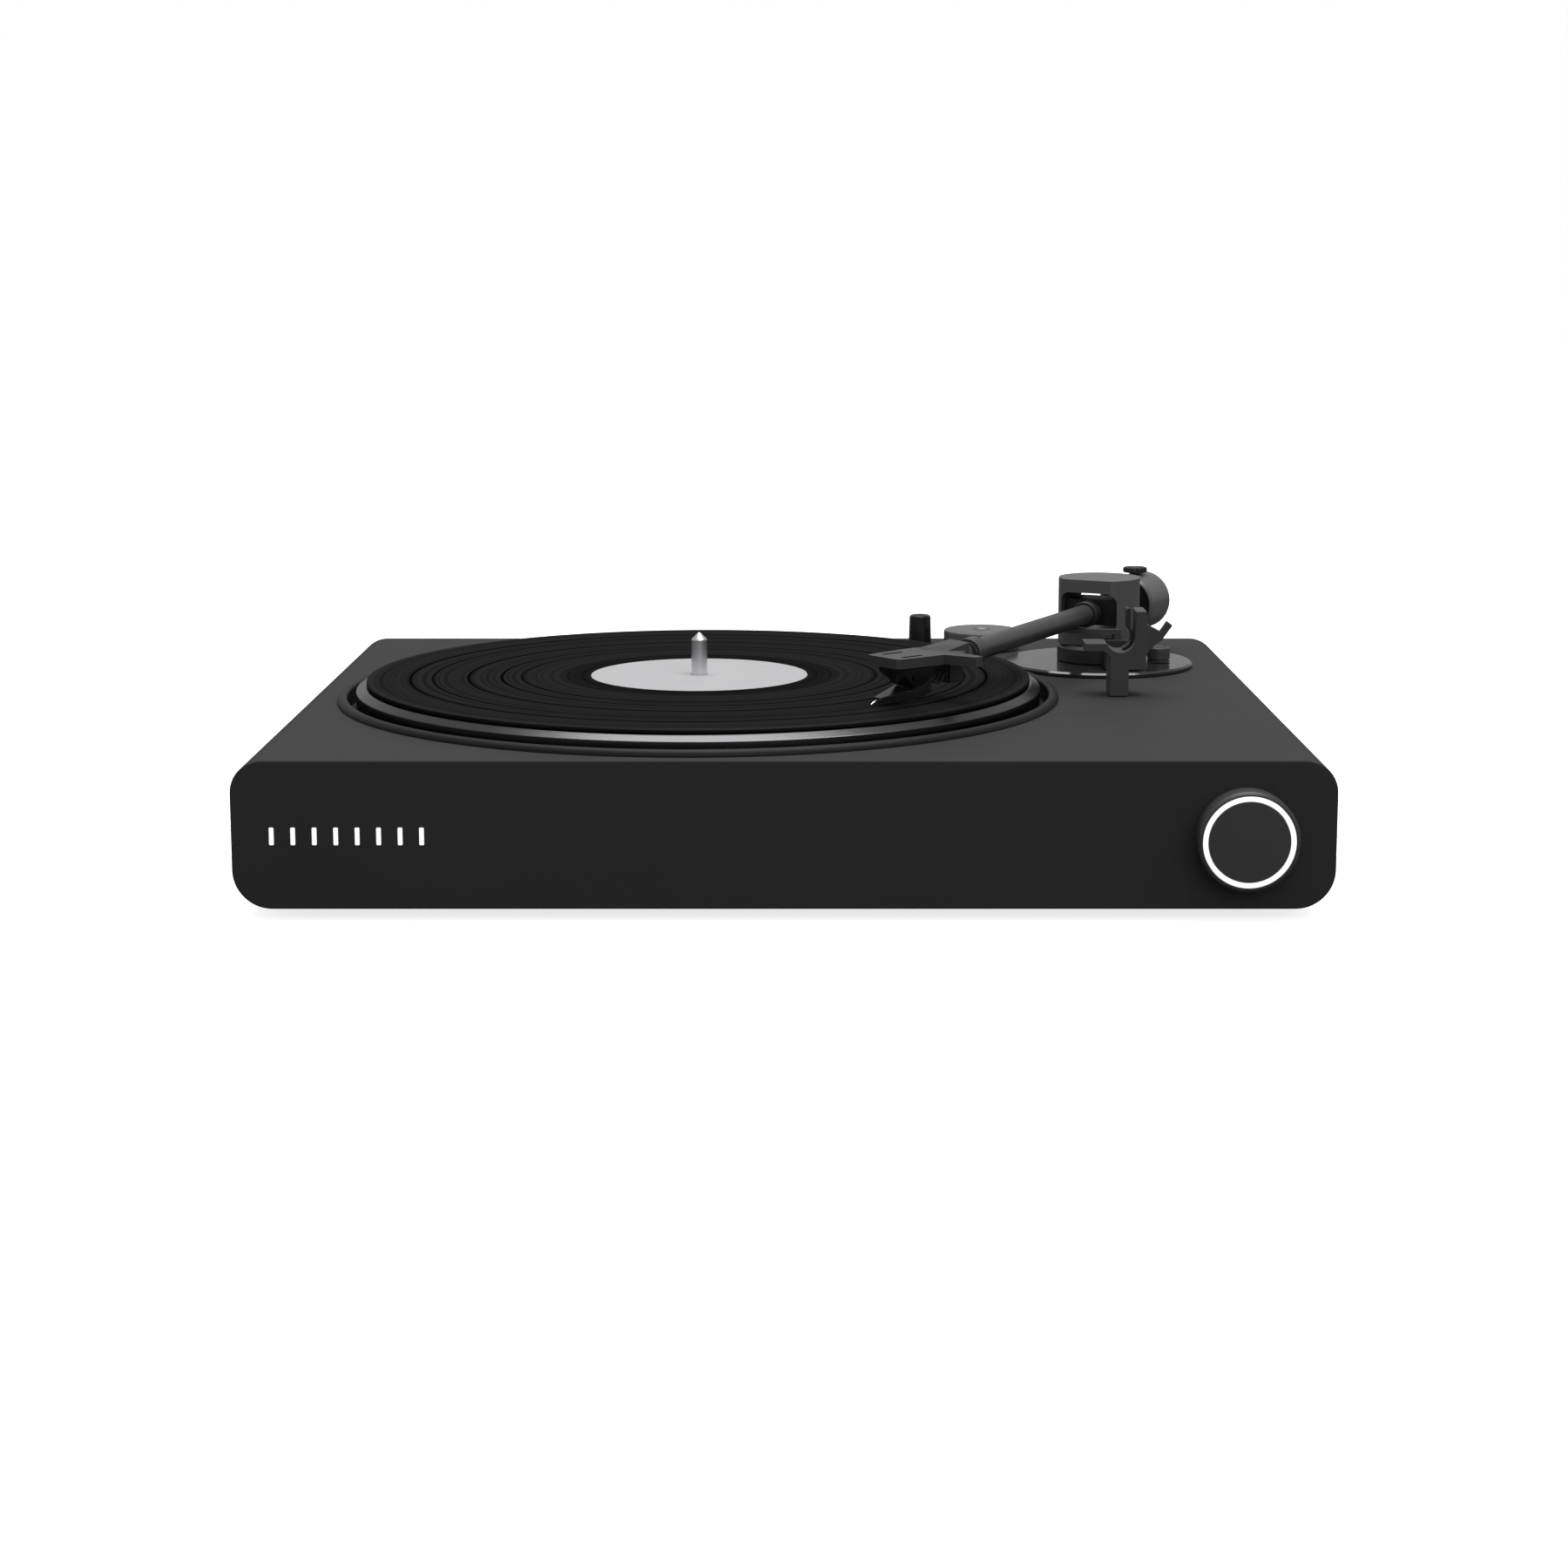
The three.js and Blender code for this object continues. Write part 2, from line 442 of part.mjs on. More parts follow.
// In the head's own group -Y points forwards, towards the stylus.
function buildHeadshell(headGroup) {
  const half = head.width / 2;
  const rearHalf = head.rear / 2;
  const bottom = head.top - head.thickness;
  const neckHalf = neck.width / 2;
  const neckEnd = headCollar.radius - headCollar.lap;
  const plate = plan(outline([[-half, -head.front], [half, -head.front], [rearHalf, -fingerLift.front],
    [fingerLift.reach, fingerLift.sweep - fingerLift.front],
    [fingerLift.reach - fingerLift.corner, -fingerLift.back],
    [rearHalf, -fingerLift.back], [neckHalf, 0], [-neckHalf, 0], [-rearHalf, -head.back]]), bottom, head.top);
  const neckBlock = block3(neck.width, neck.length, 2 * neckEnd, 0, -neck.length / 2, 0);
  const slotY = -slot.back - slot.length / 2;
  const slotCut = (side, width, height, z) =>
    block3(width, slot.length, height, side * slot.pitch / 2, slotY, z);
  const slotCuts = [-1, 1].flatMap((side) => [slotCut(side, slot.width, 4 * head.thickness, 0),
    slotCut(side, slot.recessWidth, 2 * slot.recess, head.top)]);
  add(headGroup, 'headshell', cut(join(plate, neckBlock), ...slotCuts), armBlack());
  for (const [side, sign] of [['left', -1], ['right', 1]]) {
    const headRadius = slot.recessWidth / 2 - screw.headPlay;
    const headBottom = head.top - slot.recess + seat / 2;
    const headTop = headBottom + screw.headHeight;
    const shankBottom = headBottom - screw.length;
    const cartridgeScrew = turned([[0, shankBottom], [screw.shank, shankBottom], [screw.shank, headBottom],
      [headRadius, headBottom], [headRadius, headTop], [0, headTop]], 16);
    cartridgeScrew.translate(sign * slot.pitch / 2, slotY, 0);
    add(headGroup, `cartridge_screw_${side}`, cartridgeScrew, steel());
  }
  const terminalTop = bottom - seat;
  add(headGroup, 'terminal_block', block3(terminal.width, terminal.length, terminal.height, terminal.x,
    -terminal.back, terminalTop - terminal.height / 2), softBlack());
}

// Side outlines are drawn as (forward, height) and laid along -Y.
function sideProfile(points, width) {
  const options = { depth: width, bevelEnabled: false };
  const slab = new THREE.ExtrudeGeometry(outline(points), options);
  return slab.translate(0, 0, -width / 2).rotateX(Math.PI / 2).rotateZ(-Math.PI / 2);
}

function buildCartridge(headGroup) {
  const tipZ = record.top + stylus.clear - pivot.z;
  const top = cartridgeTop;
  const joint = cartridge.joint;
  const chin = cartridge.front - cartridge.chin;
  const body = sideProfile([[cartridge.back, joint + cartridge.heel], [chin, joint],
    [cartridge.front, top - cartridge.brow], [cartridge.front, top], [cartridge.back, top]], cartridge.width);
  const screwHole = (side) => disc(screw.shank + seat, top - cartridge.bore, top + 1, 12)
    .translate(side * slot.pitch / 2, -slot.back - slot.length / 2, 0);
  add(headGroup, 'cartridge', cut(body, screwHole(-1), screwHole(1)), softBlack());
  const holderTop = joint - seat;
  const noseZ = tipZ + stylus.noseLift;
  const back = cartridge.back + 1;
  const holder = sideProfile([[back, holderTop - stylus.heel], [back + stylus.keel, noseZ],
    [stylus.nose, noseZ], [stylus.nose, noseZ + stylus.noseHeight], [chin, holderTop],
    [back, holderTop + stylus.tail]], stylus.width);
  const side = stylus.width / 2;
  const noseSide = stylus.noseWidth / 2;
  const over = 1;
  const taperStart = stylus.taper - stylus.nose;
  const taper = plan(outline([[-side, over - back], [-side, taperStart], [-noseSide, -stylus.nose - over],
    [noseSide, -stylus.nose - over], [side, taperStart], [side, over - back]]),
    noseZ - over, holderTop + stylus.tail + over);
  add(headGroup, 'stylus_holder', common(holder, taper), finish(0x161616, 0.35, 0));
  const start = new THREE.Vector3(0, -stylus.nose - seat, noseZ + stylus.noseHeight / 2);
  const tip = new THREE.Vector3(0, -stylus.tip, tipZ + cantilever.radius);
  const rod = new THREE.CylinderGeometry(cantilever.radius, cantilever.radius, start.distanceTo(tip), 10);
  const direction = tip.clone().sub(start).normalize();
  rod.applyQuaternion(new THREE.Quaternion().setFromUnitVectors(new THREE.Vector3(0, 1, 0), direction));
  const middle = start.clone().add(tip).multiplyScalar(0.5);
  add(headGroup, 'cantilever', rod.translate(middle.x, middle.y, middle.z), steel());
}

// Four leads hang from one comb on the terminal block to the back of the cartridge.
function buildCartridgeLeads(headGroup) {
  const blockFront = -terminal.back - terminal.length / 2 - seat;
  const cartridgeBack = -cartridge.back + 2 * seat;
  const height = head.top - head.thickness - seat - terminal.height / 2;
  const combWidth = 3 * lead.pitch + 4 * lead.radius;
  const comb = block3(combWidth, lead.comb, 4 * lead.radius, terminal.x, blockFront - lead.comb / 2, height);
  const section = new THREE.Shape();
  section.absarc(0, 0, lead.radius, 0, 2 * Math.PI);
  const wires = [-1.5, -0.5, 0.5, 1.5].map((place) => {
    const spread = place * lead.pitch;
    const start = new THREE.Vector3(terminal.x + spread, blockFront - lead.comb / 2, height);
    const end = new THREE.Vector3(spread, cartridgeBack, cartridgeTop - lead.drop);
    const low = start.clone().lerp(end, 0.5).setZ(height - lead.sag);
    const route = new THREE.CatmullRomCurve3([start, low, end]);
    return new THREE.ExtrudeGeometry(section, { steps: 8, extrudePath: route, curveSegments: 4 });
  });
  add(headGroup, 'cartridge_leads', join(comb, ...wires), finish(0x4a4038, 0.6, 0));
}

function buildTonearm() {
  const arm = groupAt(deck, pivot.x, pivot.y, pivot.z, -pivot.swing);
  buildYoke(arm);
  buildArmTube(arm);
  buildCounterweight(arm);
  const headGroup = groupAt(arm, 0, -tube.bend, 0, -head.turn);
  buildHeadshell(headGroup);
  buildCartridge(headGroup);
  buildCartridgeLeads(headGroup);
}

// ---- arm rest, lift and cue lever -------------------------------------------------------

// The rest stands straight in front of the pivot; the arm drops into its round cradle.
function buildArmRest() {
  const hornTop = pivot.z - tube.radius - seat;
  const hornBottom = hornTop - horn.thickness;
  const left = pivot.x - rest.post / 2 - rest.postShift;
  const right = left + rest.post;
  const outer = pivot.x + cradle.right;
  const inner = pivot.x + cradle.radius;
  const dip = Math.asin((pivot.z - hornTop) / cradle.radius);
  const shape = new THREE.Shape();
  shape.moveTo(left, seat);
  shape.lineTo(right, seat);
  shape.lineTo(right, rest.step);
  shape.lineTo(outer, rest.step);
  shape.lineTo(outer, rest.top);
  shape.lineTo(outer - cradle.wall, rest.top);
  shape.lineTo(inner, pivot.z + cradle.radius);
  shape.absarc(pivot.x, pivot.z, cradle.radius, 0, dip - Math.PI, true);
  shape.lineTo(pivot.x - horn.reach, hornTop);
  shape.lineTo(pivot.x - horn.reach, hornBottom);
  shape.lineTo(left - horn.fillet, hornBottom);
  shape.quadraticCurveTo(left, hornBottom, left, hornBottom - horn.fillet);
  add(deck, 'arm_rest', elevation(shape, rest.front, rest.front + rest.depth), armBlack());
}

// The clip turns about the parked tube's axis and closes over it.
function buildRestClip() {
  const lowEnd = rad(clip.from);
  const highEnd = rad(clip.to);
  const shape = new THREE.Shape();
  shape.absarc(pivot.x, pivot.z, clip.outer, lowEnd, highEnd);
  const tabX = pivot.x + clip.outer * Math.cos(highEnd);
  shape.lineTo(tabX, pivot.z + clip.tab);
  shape.lineTo(tabX - clip.tabWidth, pivot.z + clip.tab);
  shape.lineTo(tabX - clip.tabWidth, pivot.z + clip.outer);
  shape.absarc(pivot.x, pivot.z, clip.inner, highEnd + rad(clip.overlap), lowEnd, true);
  shape.closePath();
  const front = rest.front + (rest.depth - clip.length) / 2;
  add(deck, 'rest_clip', elevation(shape, front, front + clip.length, 12), softBlack());
}

const stemX = pivot.x - lift.radius * Math.sin(rad(stem.angle));
const stemY = pivot.y - lift.radius * Math.cos(rad(stem.angle));
const leverX = stemX + tower.right - tower.leverInset;

// The lift bar is an arc round the pivot, so it meets the tube squarely at every swing angle.
function buildLift() {
  const plateTop = seat + basePlate.thickness;
  const barTop = pivot.z - tube.radius - lift.gap;
  const barBottom = barTop - lift.thickness;
  const startAngle = rad(270 - lift.to);
  const endAngle = rad(270 - lift.from);
  const shape = new THREE.Shape();
  shape.absarc(pivot.x, pivot.y, lift.radius + lift.width / 2, startAngle, endAngle);
  shape.absarc(pivot.x, pivot.y, lift.radius - lift.width / 2, endAngle, startAngle, true);
  shape.closePath();
  const bar = plan(shape, barBottom, barTop, 12);
  const rod = disc(stem.radius, barBottom - stem.drop, barTop, 16).translate(stemX, stemY, 0);
  add(deck, 'lift_platform', join(bar, rod), softBlack());
  const width = tower.right - tower.left;
  const depth = tower.front + tower.back;
  const middle = stemX + (tower.left + tower.right) / 2;
  const bodyBottom = plateTop + seat;
  const body = block3(width, depth, tower.top - bodyBottom, middle, stemY, (tower.top + bodyBottom) / 2);
  const stemBore = disc(stem.radius + run, bodyBottom - 1, tower.top + 1, 16).translate(stemX, stemY, 0);
  const leverBore = disc(lever.shaft + run, -lever.shaftLength - 1, 1, 16)
    .rotateX(Math.PI / 2).translate(leverX, stemY - tower.front, lever.z);
  add(deck, 'lift_tower', cut(body, stemBore, leverBore), softBlack());
}

// The cue lever is a flat fan with a slanting handle, on a shaft held in the tower's front.
function buildCueLever() {
  const z = lever.z;
  const back = stemY - tower.front - run;
  // From the hub the plate narrows into a straight handle that slants up to the right.
  const neckLow = [leverX + 13.5, z + 7.2];
  const gripEnd = [[leverX + 18.7, z + 14.5], [leverX + 15.9, z + 16.7]];
  const neckHigh = [leverX + 12.7, z + 11.9];
  const shoulder = [leverX + 4.5, z + 16.2];
  const fan = new THREE.Shape();
  fan.absarc(leverX, z, lever.hub, rad(100), rad(320));
  fan.quadraticCurveTo(leverX + 9, z + 4, ...neckLow);
  [...gripEnd, neckHigh, shoulder].forEach((point) => fan.lineTo(...point));
  fan.closePath();
  const plate = elevation(fan, back - lever.thickness, back);
  const shaft = disc(lever.shaft, -lever.shaftLength, 1, 16)
    .rotateX(Math.PI / 2).translate(leverX, back, z);
  add(deck, 'cue_lever', join(plate, shaft), armBlack());
}

// ---- deck controls ----------------------------------------------------------------------

function buildDeckControls() {
  const plateTop = seat + basePlate.thickness;
  const dialFoot = plateTop + seat;
  const grooveLow = dialFoot + dial.grooveStart;
  const grooveHigh = dialFoot + dial.grooveEnd;
  const waist = dial.radius - dial.groove;
  add(deck, 'anti_skate_dial', turned([[0, dialFoot], [dial.radius, dialFoot], [dial.radius, grooveLow],
    [waist, grooveLow], [waist, grooveHigh], [dial.radius, grooveHigh],
    [dial.radius, dial.top - dial.chamfer], [dial.radius - dial.chamfer, dial.top],
    [0, dial.top]], 20).translate(dial.x, dial.y, 0), armBlack());
  const hole = adapter.peg + run;
  add(deck, 'adapter_45', turned([[hole, seat], [adapter.radius, seat],
    [adapter.radius, adapter.top - adapter.chamfer], [adapter.radius - adapter.chamfer, adapter.top],
    [hole, adapter.top], [hole, seat]], 32)
    .translate(adapter.x, adapter.y, 0), armBlack());
  const peg = disc(adapter.peg, seat, adapter.top - adapter.pegDrop, 20);
  add(deck, 'adapter_peg', peg.translate(adapter.x, adapter.y, 0), armBlack());
  const stemBottom = -selector.stemDrop;
  add(deck, 'speed_selector', turned([[0, stemBottom], [selector.stem, stemBottom], [selector.stem, seat],
    [selector.foot, seat], [selector.head, selector.top - selector.chamfer],
    [selector.head - selector.chamfer, selector.top],
    [0, selector.top]], 20).translate(selector.x, selector.y, 0), softBlack());
}

// ---- back panel and electronics ---------------------------------------------------------

function buildBackPanel() {
  const outside = plinth.depth - seat / 2;
  const inside = outside - rear.thickness;
  const facing = (geometry) => geometry.rotateX(-Math.PI / 2);
  const panel = block3(rear.width, rear.thickness, rear.height, rear.x, (inside + outside) / 2, rear.z);
  const hole = (x, radius) => facing(disc(radius, inside - 5, outside + 5, 20)).translate(x, 0, rear.z);
  const inletX = rear.x + inlet.x;
  const groundX = rear.x + ground.x;
  const switchX = rear.x + preamp.x;
  const inletHole = block3(inlet.width + 2 * seat, 10, inlet.height + 2 * seat, inletX, outside, rear.z);
  const switchSlot = block3(preamp.width + 2 * (preamp.travel + run), 10, preamp.height + 2 * run,
    switchX, outside, rear.z);
  add(deck, 'rear_panel', cut(panel, ...socketX.map((x) => hole(x, socket.radius + seat)),
    hole(groundX, ground.shank + seat), inletHole, switchSlot), softBlack());
  const end = plinth.depth + rear.standOut;
  ['left', 'right'].forEach((side, index) => {
    const barrel = facing(turned([[0, inside - socket.inside], [socket.radius, inside - socket.inside],
      [socket.radius, end], [socket.bore, end], [socket.bore, end - socket.boreDepth],
      [0, end - socket.boreDepth]], 24));
    add(deck, `line_out_${side}`, barrel.translate(socketX[index], 0, rear.z), finish(0xc8a24a, 0.3, 0.9));
  });
  const inletDepth = inlet.inside + rear.thickness + inlet.standOut;
  const inletBody = block3(inlet.width, inletDepth, inlet.height, inletX,
    outside + inlet.standOut - inletDepth / 2, rear.z);
  const inletBore = facing(disc(inlet.bore, outside - inlet.boreDepth, outside + inlet.standOut + 1, 20))
    .translate(inletX, 0, rear.z);
  add(deck, 'dc_inlet', cut(inletBody, inletBore), softBlack());
  const capStart = outside + seat;
  const shankEnd = inside - ground.inside;
  add(deck, 'ground_terminal', facing(turned([[0, shankEnd], [ground.shank, shankEnd],
    [ground.shank, capStart], [ground.cap, capStart], [ground.cap, end], [0, end]], 24))
    .translate(groundX, 0, rear.z), steel());
  const switchDepth = preamp.inside + rear.thickness + preamp.standOut;
  add(deck, 'preamp_switch', block3(preamp.width, switchDepth, preamp.height, switchX,
    outside + preamp.standOut - switchDepth / 2, rear.z), softBlack());
}

function buildElectronics() {
  const boardBottom = underside + cover.thickness + board.lift;
  const boardTop = boardBottom + board.thickness;
  const sheet = block3(board.width, board.length, board.thickness, rear.x, board.y,
    (boardBottom + boardTop) / 2);
  const part = (x, y, width, depth, height) => {
    const full = height + board.thickness;
    return block3(width, depth, full, rear.x + x, board.y + y, boardBottom + full / 2);
  };
  const standoffX = board.width / 2 - board.standoffInset;
  const standoffY = board.length / 2 - board.standoffInset;
  const standoff = (sideX, sideY) =>
    disc(board.standoffRadius, underside + cover.thickness + seat, boardTop, 12)
      .translate(rear.x + sideX * standoffX, board.y + sideY * standoffY, 0);
  // A transformer, a chip and a connector block, each as offset x, y, width, depth and height.
  const chips = [part(-45, 8, 22, 22, 4), part(0, -6, 30, 14, 6), part(42, 10, 18, 24, 9)];
  const standoffs = [standoff(-1, -1), standoff(1, -1), standoff(-1, 1), standoff(1, 1)];
  add(deck, 'main_board', join(sheet, ...chips, ...standoffs), finish(0x24523a, 0.6, 0));
}

buildPlinth();
buildCoverAndFeet();
buildWellRing();
buildPlatter();
buildBearing();
buildDrive();
buildKnob();
buildArmBase();
buildTonearm();
buildArmRest();
buildRestClip();
buildLift();
buildCueLever();
buildDeckControls();
buildBackPanel();
buildElectronics();

export default turntable;
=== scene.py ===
import json
import math

import bmesh
import bpy
from mathutils import Matrix, Vector


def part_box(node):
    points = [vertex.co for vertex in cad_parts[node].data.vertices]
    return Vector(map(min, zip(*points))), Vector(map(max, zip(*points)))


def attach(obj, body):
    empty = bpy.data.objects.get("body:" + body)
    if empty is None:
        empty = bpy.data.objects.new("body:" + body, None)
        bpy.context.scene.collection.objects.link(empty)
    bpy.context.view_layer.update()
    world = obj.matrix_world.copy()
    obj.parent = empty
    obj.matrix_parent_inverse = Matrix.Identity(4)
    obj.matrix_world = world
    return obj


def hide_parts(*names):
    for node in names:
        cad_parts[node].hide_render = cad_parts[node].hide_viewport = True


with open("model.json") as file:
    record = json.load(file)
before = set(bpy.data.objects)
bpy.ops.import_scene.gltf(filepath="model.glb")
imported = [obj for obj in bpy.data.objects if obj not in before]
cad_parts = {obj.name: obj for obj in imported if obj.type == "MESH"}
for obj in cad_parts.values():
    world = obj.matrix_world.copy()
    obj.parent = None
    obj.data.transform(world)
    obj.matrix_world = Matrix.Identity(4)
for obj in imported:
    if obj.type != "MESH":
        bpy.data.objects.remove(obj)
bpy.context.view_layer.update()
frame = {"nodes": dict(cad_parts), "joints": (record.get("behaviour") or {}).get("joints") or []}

# ---- Camera and studio ------------------------------------------------------------------
# A long lens looks slightly down at the front of the turntable, from a little right of its
# centre line. A small shift of the frame brings the object close to its middle.
plinth_low, plinth_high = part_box("plinth")
deck_z = plinth_high[2]
front_y = plinth_low[1]
focal_length, frame_shift = 66.34, (-0.01206, -0.05136)
stand_off, camera_x, camera_rise, look_down = 1.1377, 0.0076, 0.2078, 9.216
scene = bpy.context.scene
lens = bpy.data.cameras.new("studio_lens")
lens.sensor_width = 36
lens.lens = focal_length
lens.shift_x, lens.shift_y = frame_shift
lens.clip_start = 0.01
camera = bpy.data.objects.new("camera", lens)
camera.location = (camera_x, front_y - stand_off, deck_z + camera_rise)
camera.rotation_euler = (math.radians(90 - look_down), 0, 0)
scene.collection.objects.link(camera)
scene.camera = camera
scene.view_settings.view_transform = "Standard"

# The pale floor and the white room. The camera sees both at full white, and the object is
# lit by a dimmer copy of them, so its dark finishes keep their depth.
world = bpy.data.worlds.new("white_room")
scene.world = world
world.use_nodes = True
room = world.node_tree
room.nodes.clear()
seen_by_camera = room.nodes.new("ShaderNodeLightPath")
white_room = room.nodes.new("ShaderNodeBackground")
white_room.inputs["Color"].default_value = (1, 1, 1, 1)
white_room.inputs["Strength"].default_value = 1.0
dim_room = room.nodes.new("ShaderNodeBackground")
dim_room.inputs["Color"].default_value = (1, 1, 1, 1)
dim_room.inputs["Strength"].default_value = 0.42
room_mix = room.nodes.new("ShaderNodeMixShader")
room_out = room.nodes.new("ShaderNodeOutputWorld")
room.links.new(seen_by_camera.outputs["Is Camera Ray"], room_mix.inputs["Fac"])
room.links.new(dim_room.outputs[0], room_mix.inputs[1])
room.links.new(white_room.outputs[0], room_mix.inputs[2])
room.links.new(room_mix.outputs[0], room_out.inputs["Surface"])

bpy.ops.mesh.primitive_plane_add(size=12, location=(0, 0, 0))
floor = bpy.context.object
floor.name = "studio_floor"
floor_paper = bpy.data.materials.new("floor_paper")
floor_paper.use_nodes = True
floor_nodes = floor_paper.node_tree.nodes
floor_links = floor_paper.node_tree.links
floor_nodes.clear()
paper_white = floor_nodes.new("ShaderNodeBsdfDiffuse")
paper_white.inputs["Color"].default_value = (0.9, 0.9, 0.9, 1)
paper_glow = floor_nodes.new("ShaderNodeEmission")
paper_glow.inputs["Strength"].default_value = 0.78
paper_sum = floor_nodes.new("ShaderNodeAddShader")
paper_dim = floor_nodes.new("ShaderNodeBsdfDiffuse")
paper_dim.inputs["Color"].default_value = (0.12, 0.12, 0.12, 1)
paper_rays = floor_nodes.new("ShaderNodeLightPath")
paper_mix = floor_nodes.new("ShaderNodeMixShader")
paper_out = floor_nodes.new("ShaderNodeOutputMaterial")
floor_links.new(paper_white.outputs[0], paper_sum.inputs[0])
floor_links.new(paper_glow.outputs[0], paper_sum.inputs[1])
floor_links.new(paper_rays.outputs["Is Camera Ray"], paper_mix.inputs["Fac"])
floor_links.new(paper_dim.outputs[0], paper_mix.inputs[1])
floor_links.new(paper_sum.outputs[0], paper_mix.inputs[2])
floor_links.new(paper_mix.outputs[0], paper_out.inputs["Surface"])
floor.data.materials.append(floor_paper)


def soft_light(name, power, size, place, aim):
    light = bpy.data.lights.new(name, "AREA")
    light.shape = "RECTANGLE"
    light.size, light.size_y = size
    light.energy = power
    lamp = bpy.data.objects.new(name, light)
    lamp.location = place
    lamp.rotation_euler = (Vector(aim) - Vector(place)).to_track_quat("-Z", "Y").to_euler()
    scene.collection.objects.link(lamp)


soft_light("overhead_softbox", 31, (1.6, 1.0), (0.1, 0.1, 1.5), (0, 0, deck_z))
soft_light("front_softbox", 8, (1.8, 0.9), (0.5, -1.9, 0.9), (0, 0, deck_z))

# ---- Plinth -----------------------------------------------------------------------------
# The body is one moulding with rounded long edges and flat ends, lacquered satin black. It is
# open below for the works, and its deck is sunk for the platter and bored for the controls.


def only_select(piece):
    bpy.ops.object.select_all(action="DESELECT")
    piece.select_set(True)
    bpy.context.view_layer.objects.active = piece


def settle(piece, place=None):
    """Puts a piece where it belongs, with its place in its mesh."""
    if place is not None:
        piece.matrix_world = place
    only_select(piece)
    bpy.ops.object.transform_apply(location=True, rotation=True, scale=True)


def bevel_edges(piece, offset, segments, chosen):
    """Bevels the edges whose two ends pass the test."""
    only_select(piece)
    bpy.ops.object.mode_set(mode="EDIT")
    bpy.ops.mesh.select_all(action="DESELECT")
    bpy.ops.mesh.select_mode(type="EDGE")
    shell = bmesh.from_edit_mesh(piece.data)
    for edge in shell.edges:
        edge.select_set(chosen(edge.verts[0].co, edge.verts[1].co))
    bmesh.update_edit_mesh(piece.data)
    bpy.ops.mesh.bevel(offset=offset, segments=segments, affect="EDGES")
    bpy.ops.object.mode_set(mode="OBJECT")


def crisp(piece, angle=38):
    """Smooth shading up to an angle, with the large faces kept truly flat."""
    only_select(piece)
    bpy.ops.object.shade_smooth_by_angle(angle=math.radians(angle))
    flats = piece.modifiers.new("flat_faces", "WEIGHTED_NORMAL")
    flats.keep_sharp = True
    bpy.ops.object.modifier_apply(modifier=flats.name)


def round_edges(piece, width, segments=3, angle=32):
    """Rounds every sharp edge with a Bevel modifier and smooths the faces between them."""
    only_select(piece)
    bevel = piece.modifiers.new("edge_round", "BEVEL")
    bevel.width = width
    bevel.segments = segments
    bevel.limit_method = "ANGLE"
    bevel.angle_limit = math.radians(angle)
    bpy.ops.object.modifier_apply(modifier=bevel.name)
    crisp(piece)


def carve(piece, cutter):
    """Cuts one closed piece out of another and throws the cutter away."""
    only_select(piece)
    boolean = piece.modifiers.new("carve", "BOOLEAN")
    boolean.operation = "DIFFERENCE"
    boolean.solver = "EXACT"
    boolean.object = cutter
    bpy.ops.object.modifier_apply(modifier=boolean.name)
    bpy.data.objects.remove(cutter, do_unlink=True)


def block(name, low, high):
    """A rectangular block between two corners."""
    bpy.ops.object.select_all(action="DESELECT")
    middle = [(a + b) / 2 for a, b in zip(low, high)]
    size = [b - a for a, b in zip(low, high)]
    bpy.ops.mesh.primitive_cube_add(size=1, location=middle, scale=size)
    piece = bpy.context.object
    piece.name = name
    settle(piece)
    return piece


def rod(name, radius, bottom, top, place=None, sides=48):
    """A plain closed cylinder on its own Z axis."""
    bpy.ops.object.select_all(action="DESELECT")
    bpy.ops.mesh.primitive_cylinder_add(
        vertices=sides, radius=radius, depth=top - bottom, location=(0, 0, (top + bottom) / 2))
    piece = bpy.context.object
    piece.name = name
    settle(piece)
    if place is not None:
        settle(piece, place)
    return piece


def at(x, y, z=0.0):
    return Matrix.Translation((x, y, z))


def middle_of(node):
    low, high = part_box(node)
    return [(a + b) / 2 for a, b in zip(low, high)]


def satin_black(name, shade, roughness, pebble, pebble_size, gloss=0.3, metal=0.0):
    """A dark coat with fine pebbled texture and slightly uneven roughness."""
    coat = bpy.data.materials.new(name)
    coat.use_nodes = True
    nodes, links = coat.node_tree.nodes, coat.node_tree.links
    shader = nodes["Principled BSDF"]
    shader.inputs["Specular IOR Level"].default_value = gloss
    shader.inputs["Metallic"].default_value = metal
    where = nodes.new("ShaderNodeTexCoord")
    grain = nodes.new("ShaderNodeTexNoise")
    grain.inputs["Scale"].default_value = 1 / pebble_size
    grain.inputs["Detail"].default_value = 3
    bump = nodes.new("ShaderNodeBump")
    bump.inputs["Strength"].default_value = pebble
    bump.inputs["Distance"].default_value = pebble_size / 2
    cloud = nodes.new("ShaderNodeTexNoise")
    cloud.inputs["Scale"].default_value = 22
    cloud.inputs["Detail"].default_value = 4
    wear = nodes.new("ShaderNodeMapRange")
    wear.inputs["To Min"].default_value = roughness - 0.05
    wear.inputs["To Max"].default_value = roughness + 0.05
    tone = nodes.new("ShaderNodeMix")
    tone.data_type = "RGBA"
    tone.inputs["A"].default_value = (shade * 0.88, shade * 0.88, shade * 0.9, 1)
    tone.inputs["B"].default_value = (shade * 1.12, shade * 1.12, shade * 1.14, 1)
    links.new(where.outputs["Object"], grain.inputs["Vector"])
    links.new(where.outputs["Object"], cloud.inputs["Vector"])
    links.new(grain.outputs["Fac"], bump.inputs["Height"])
    links.new(bump.outputs["Normal"], shader.inputs["Normal"])
    links.new(cloud.outputs["Fac"], wear.inputs["Value"])
    links.new(wear.outputs["Result"], shader.inputs["Roughness"])
    links.new(cloud.outputs["Fac"], tone.inputs["Factor"])
    links.new(tone.outputs["Result"], shader.inputs["Base Color"])
    return coat


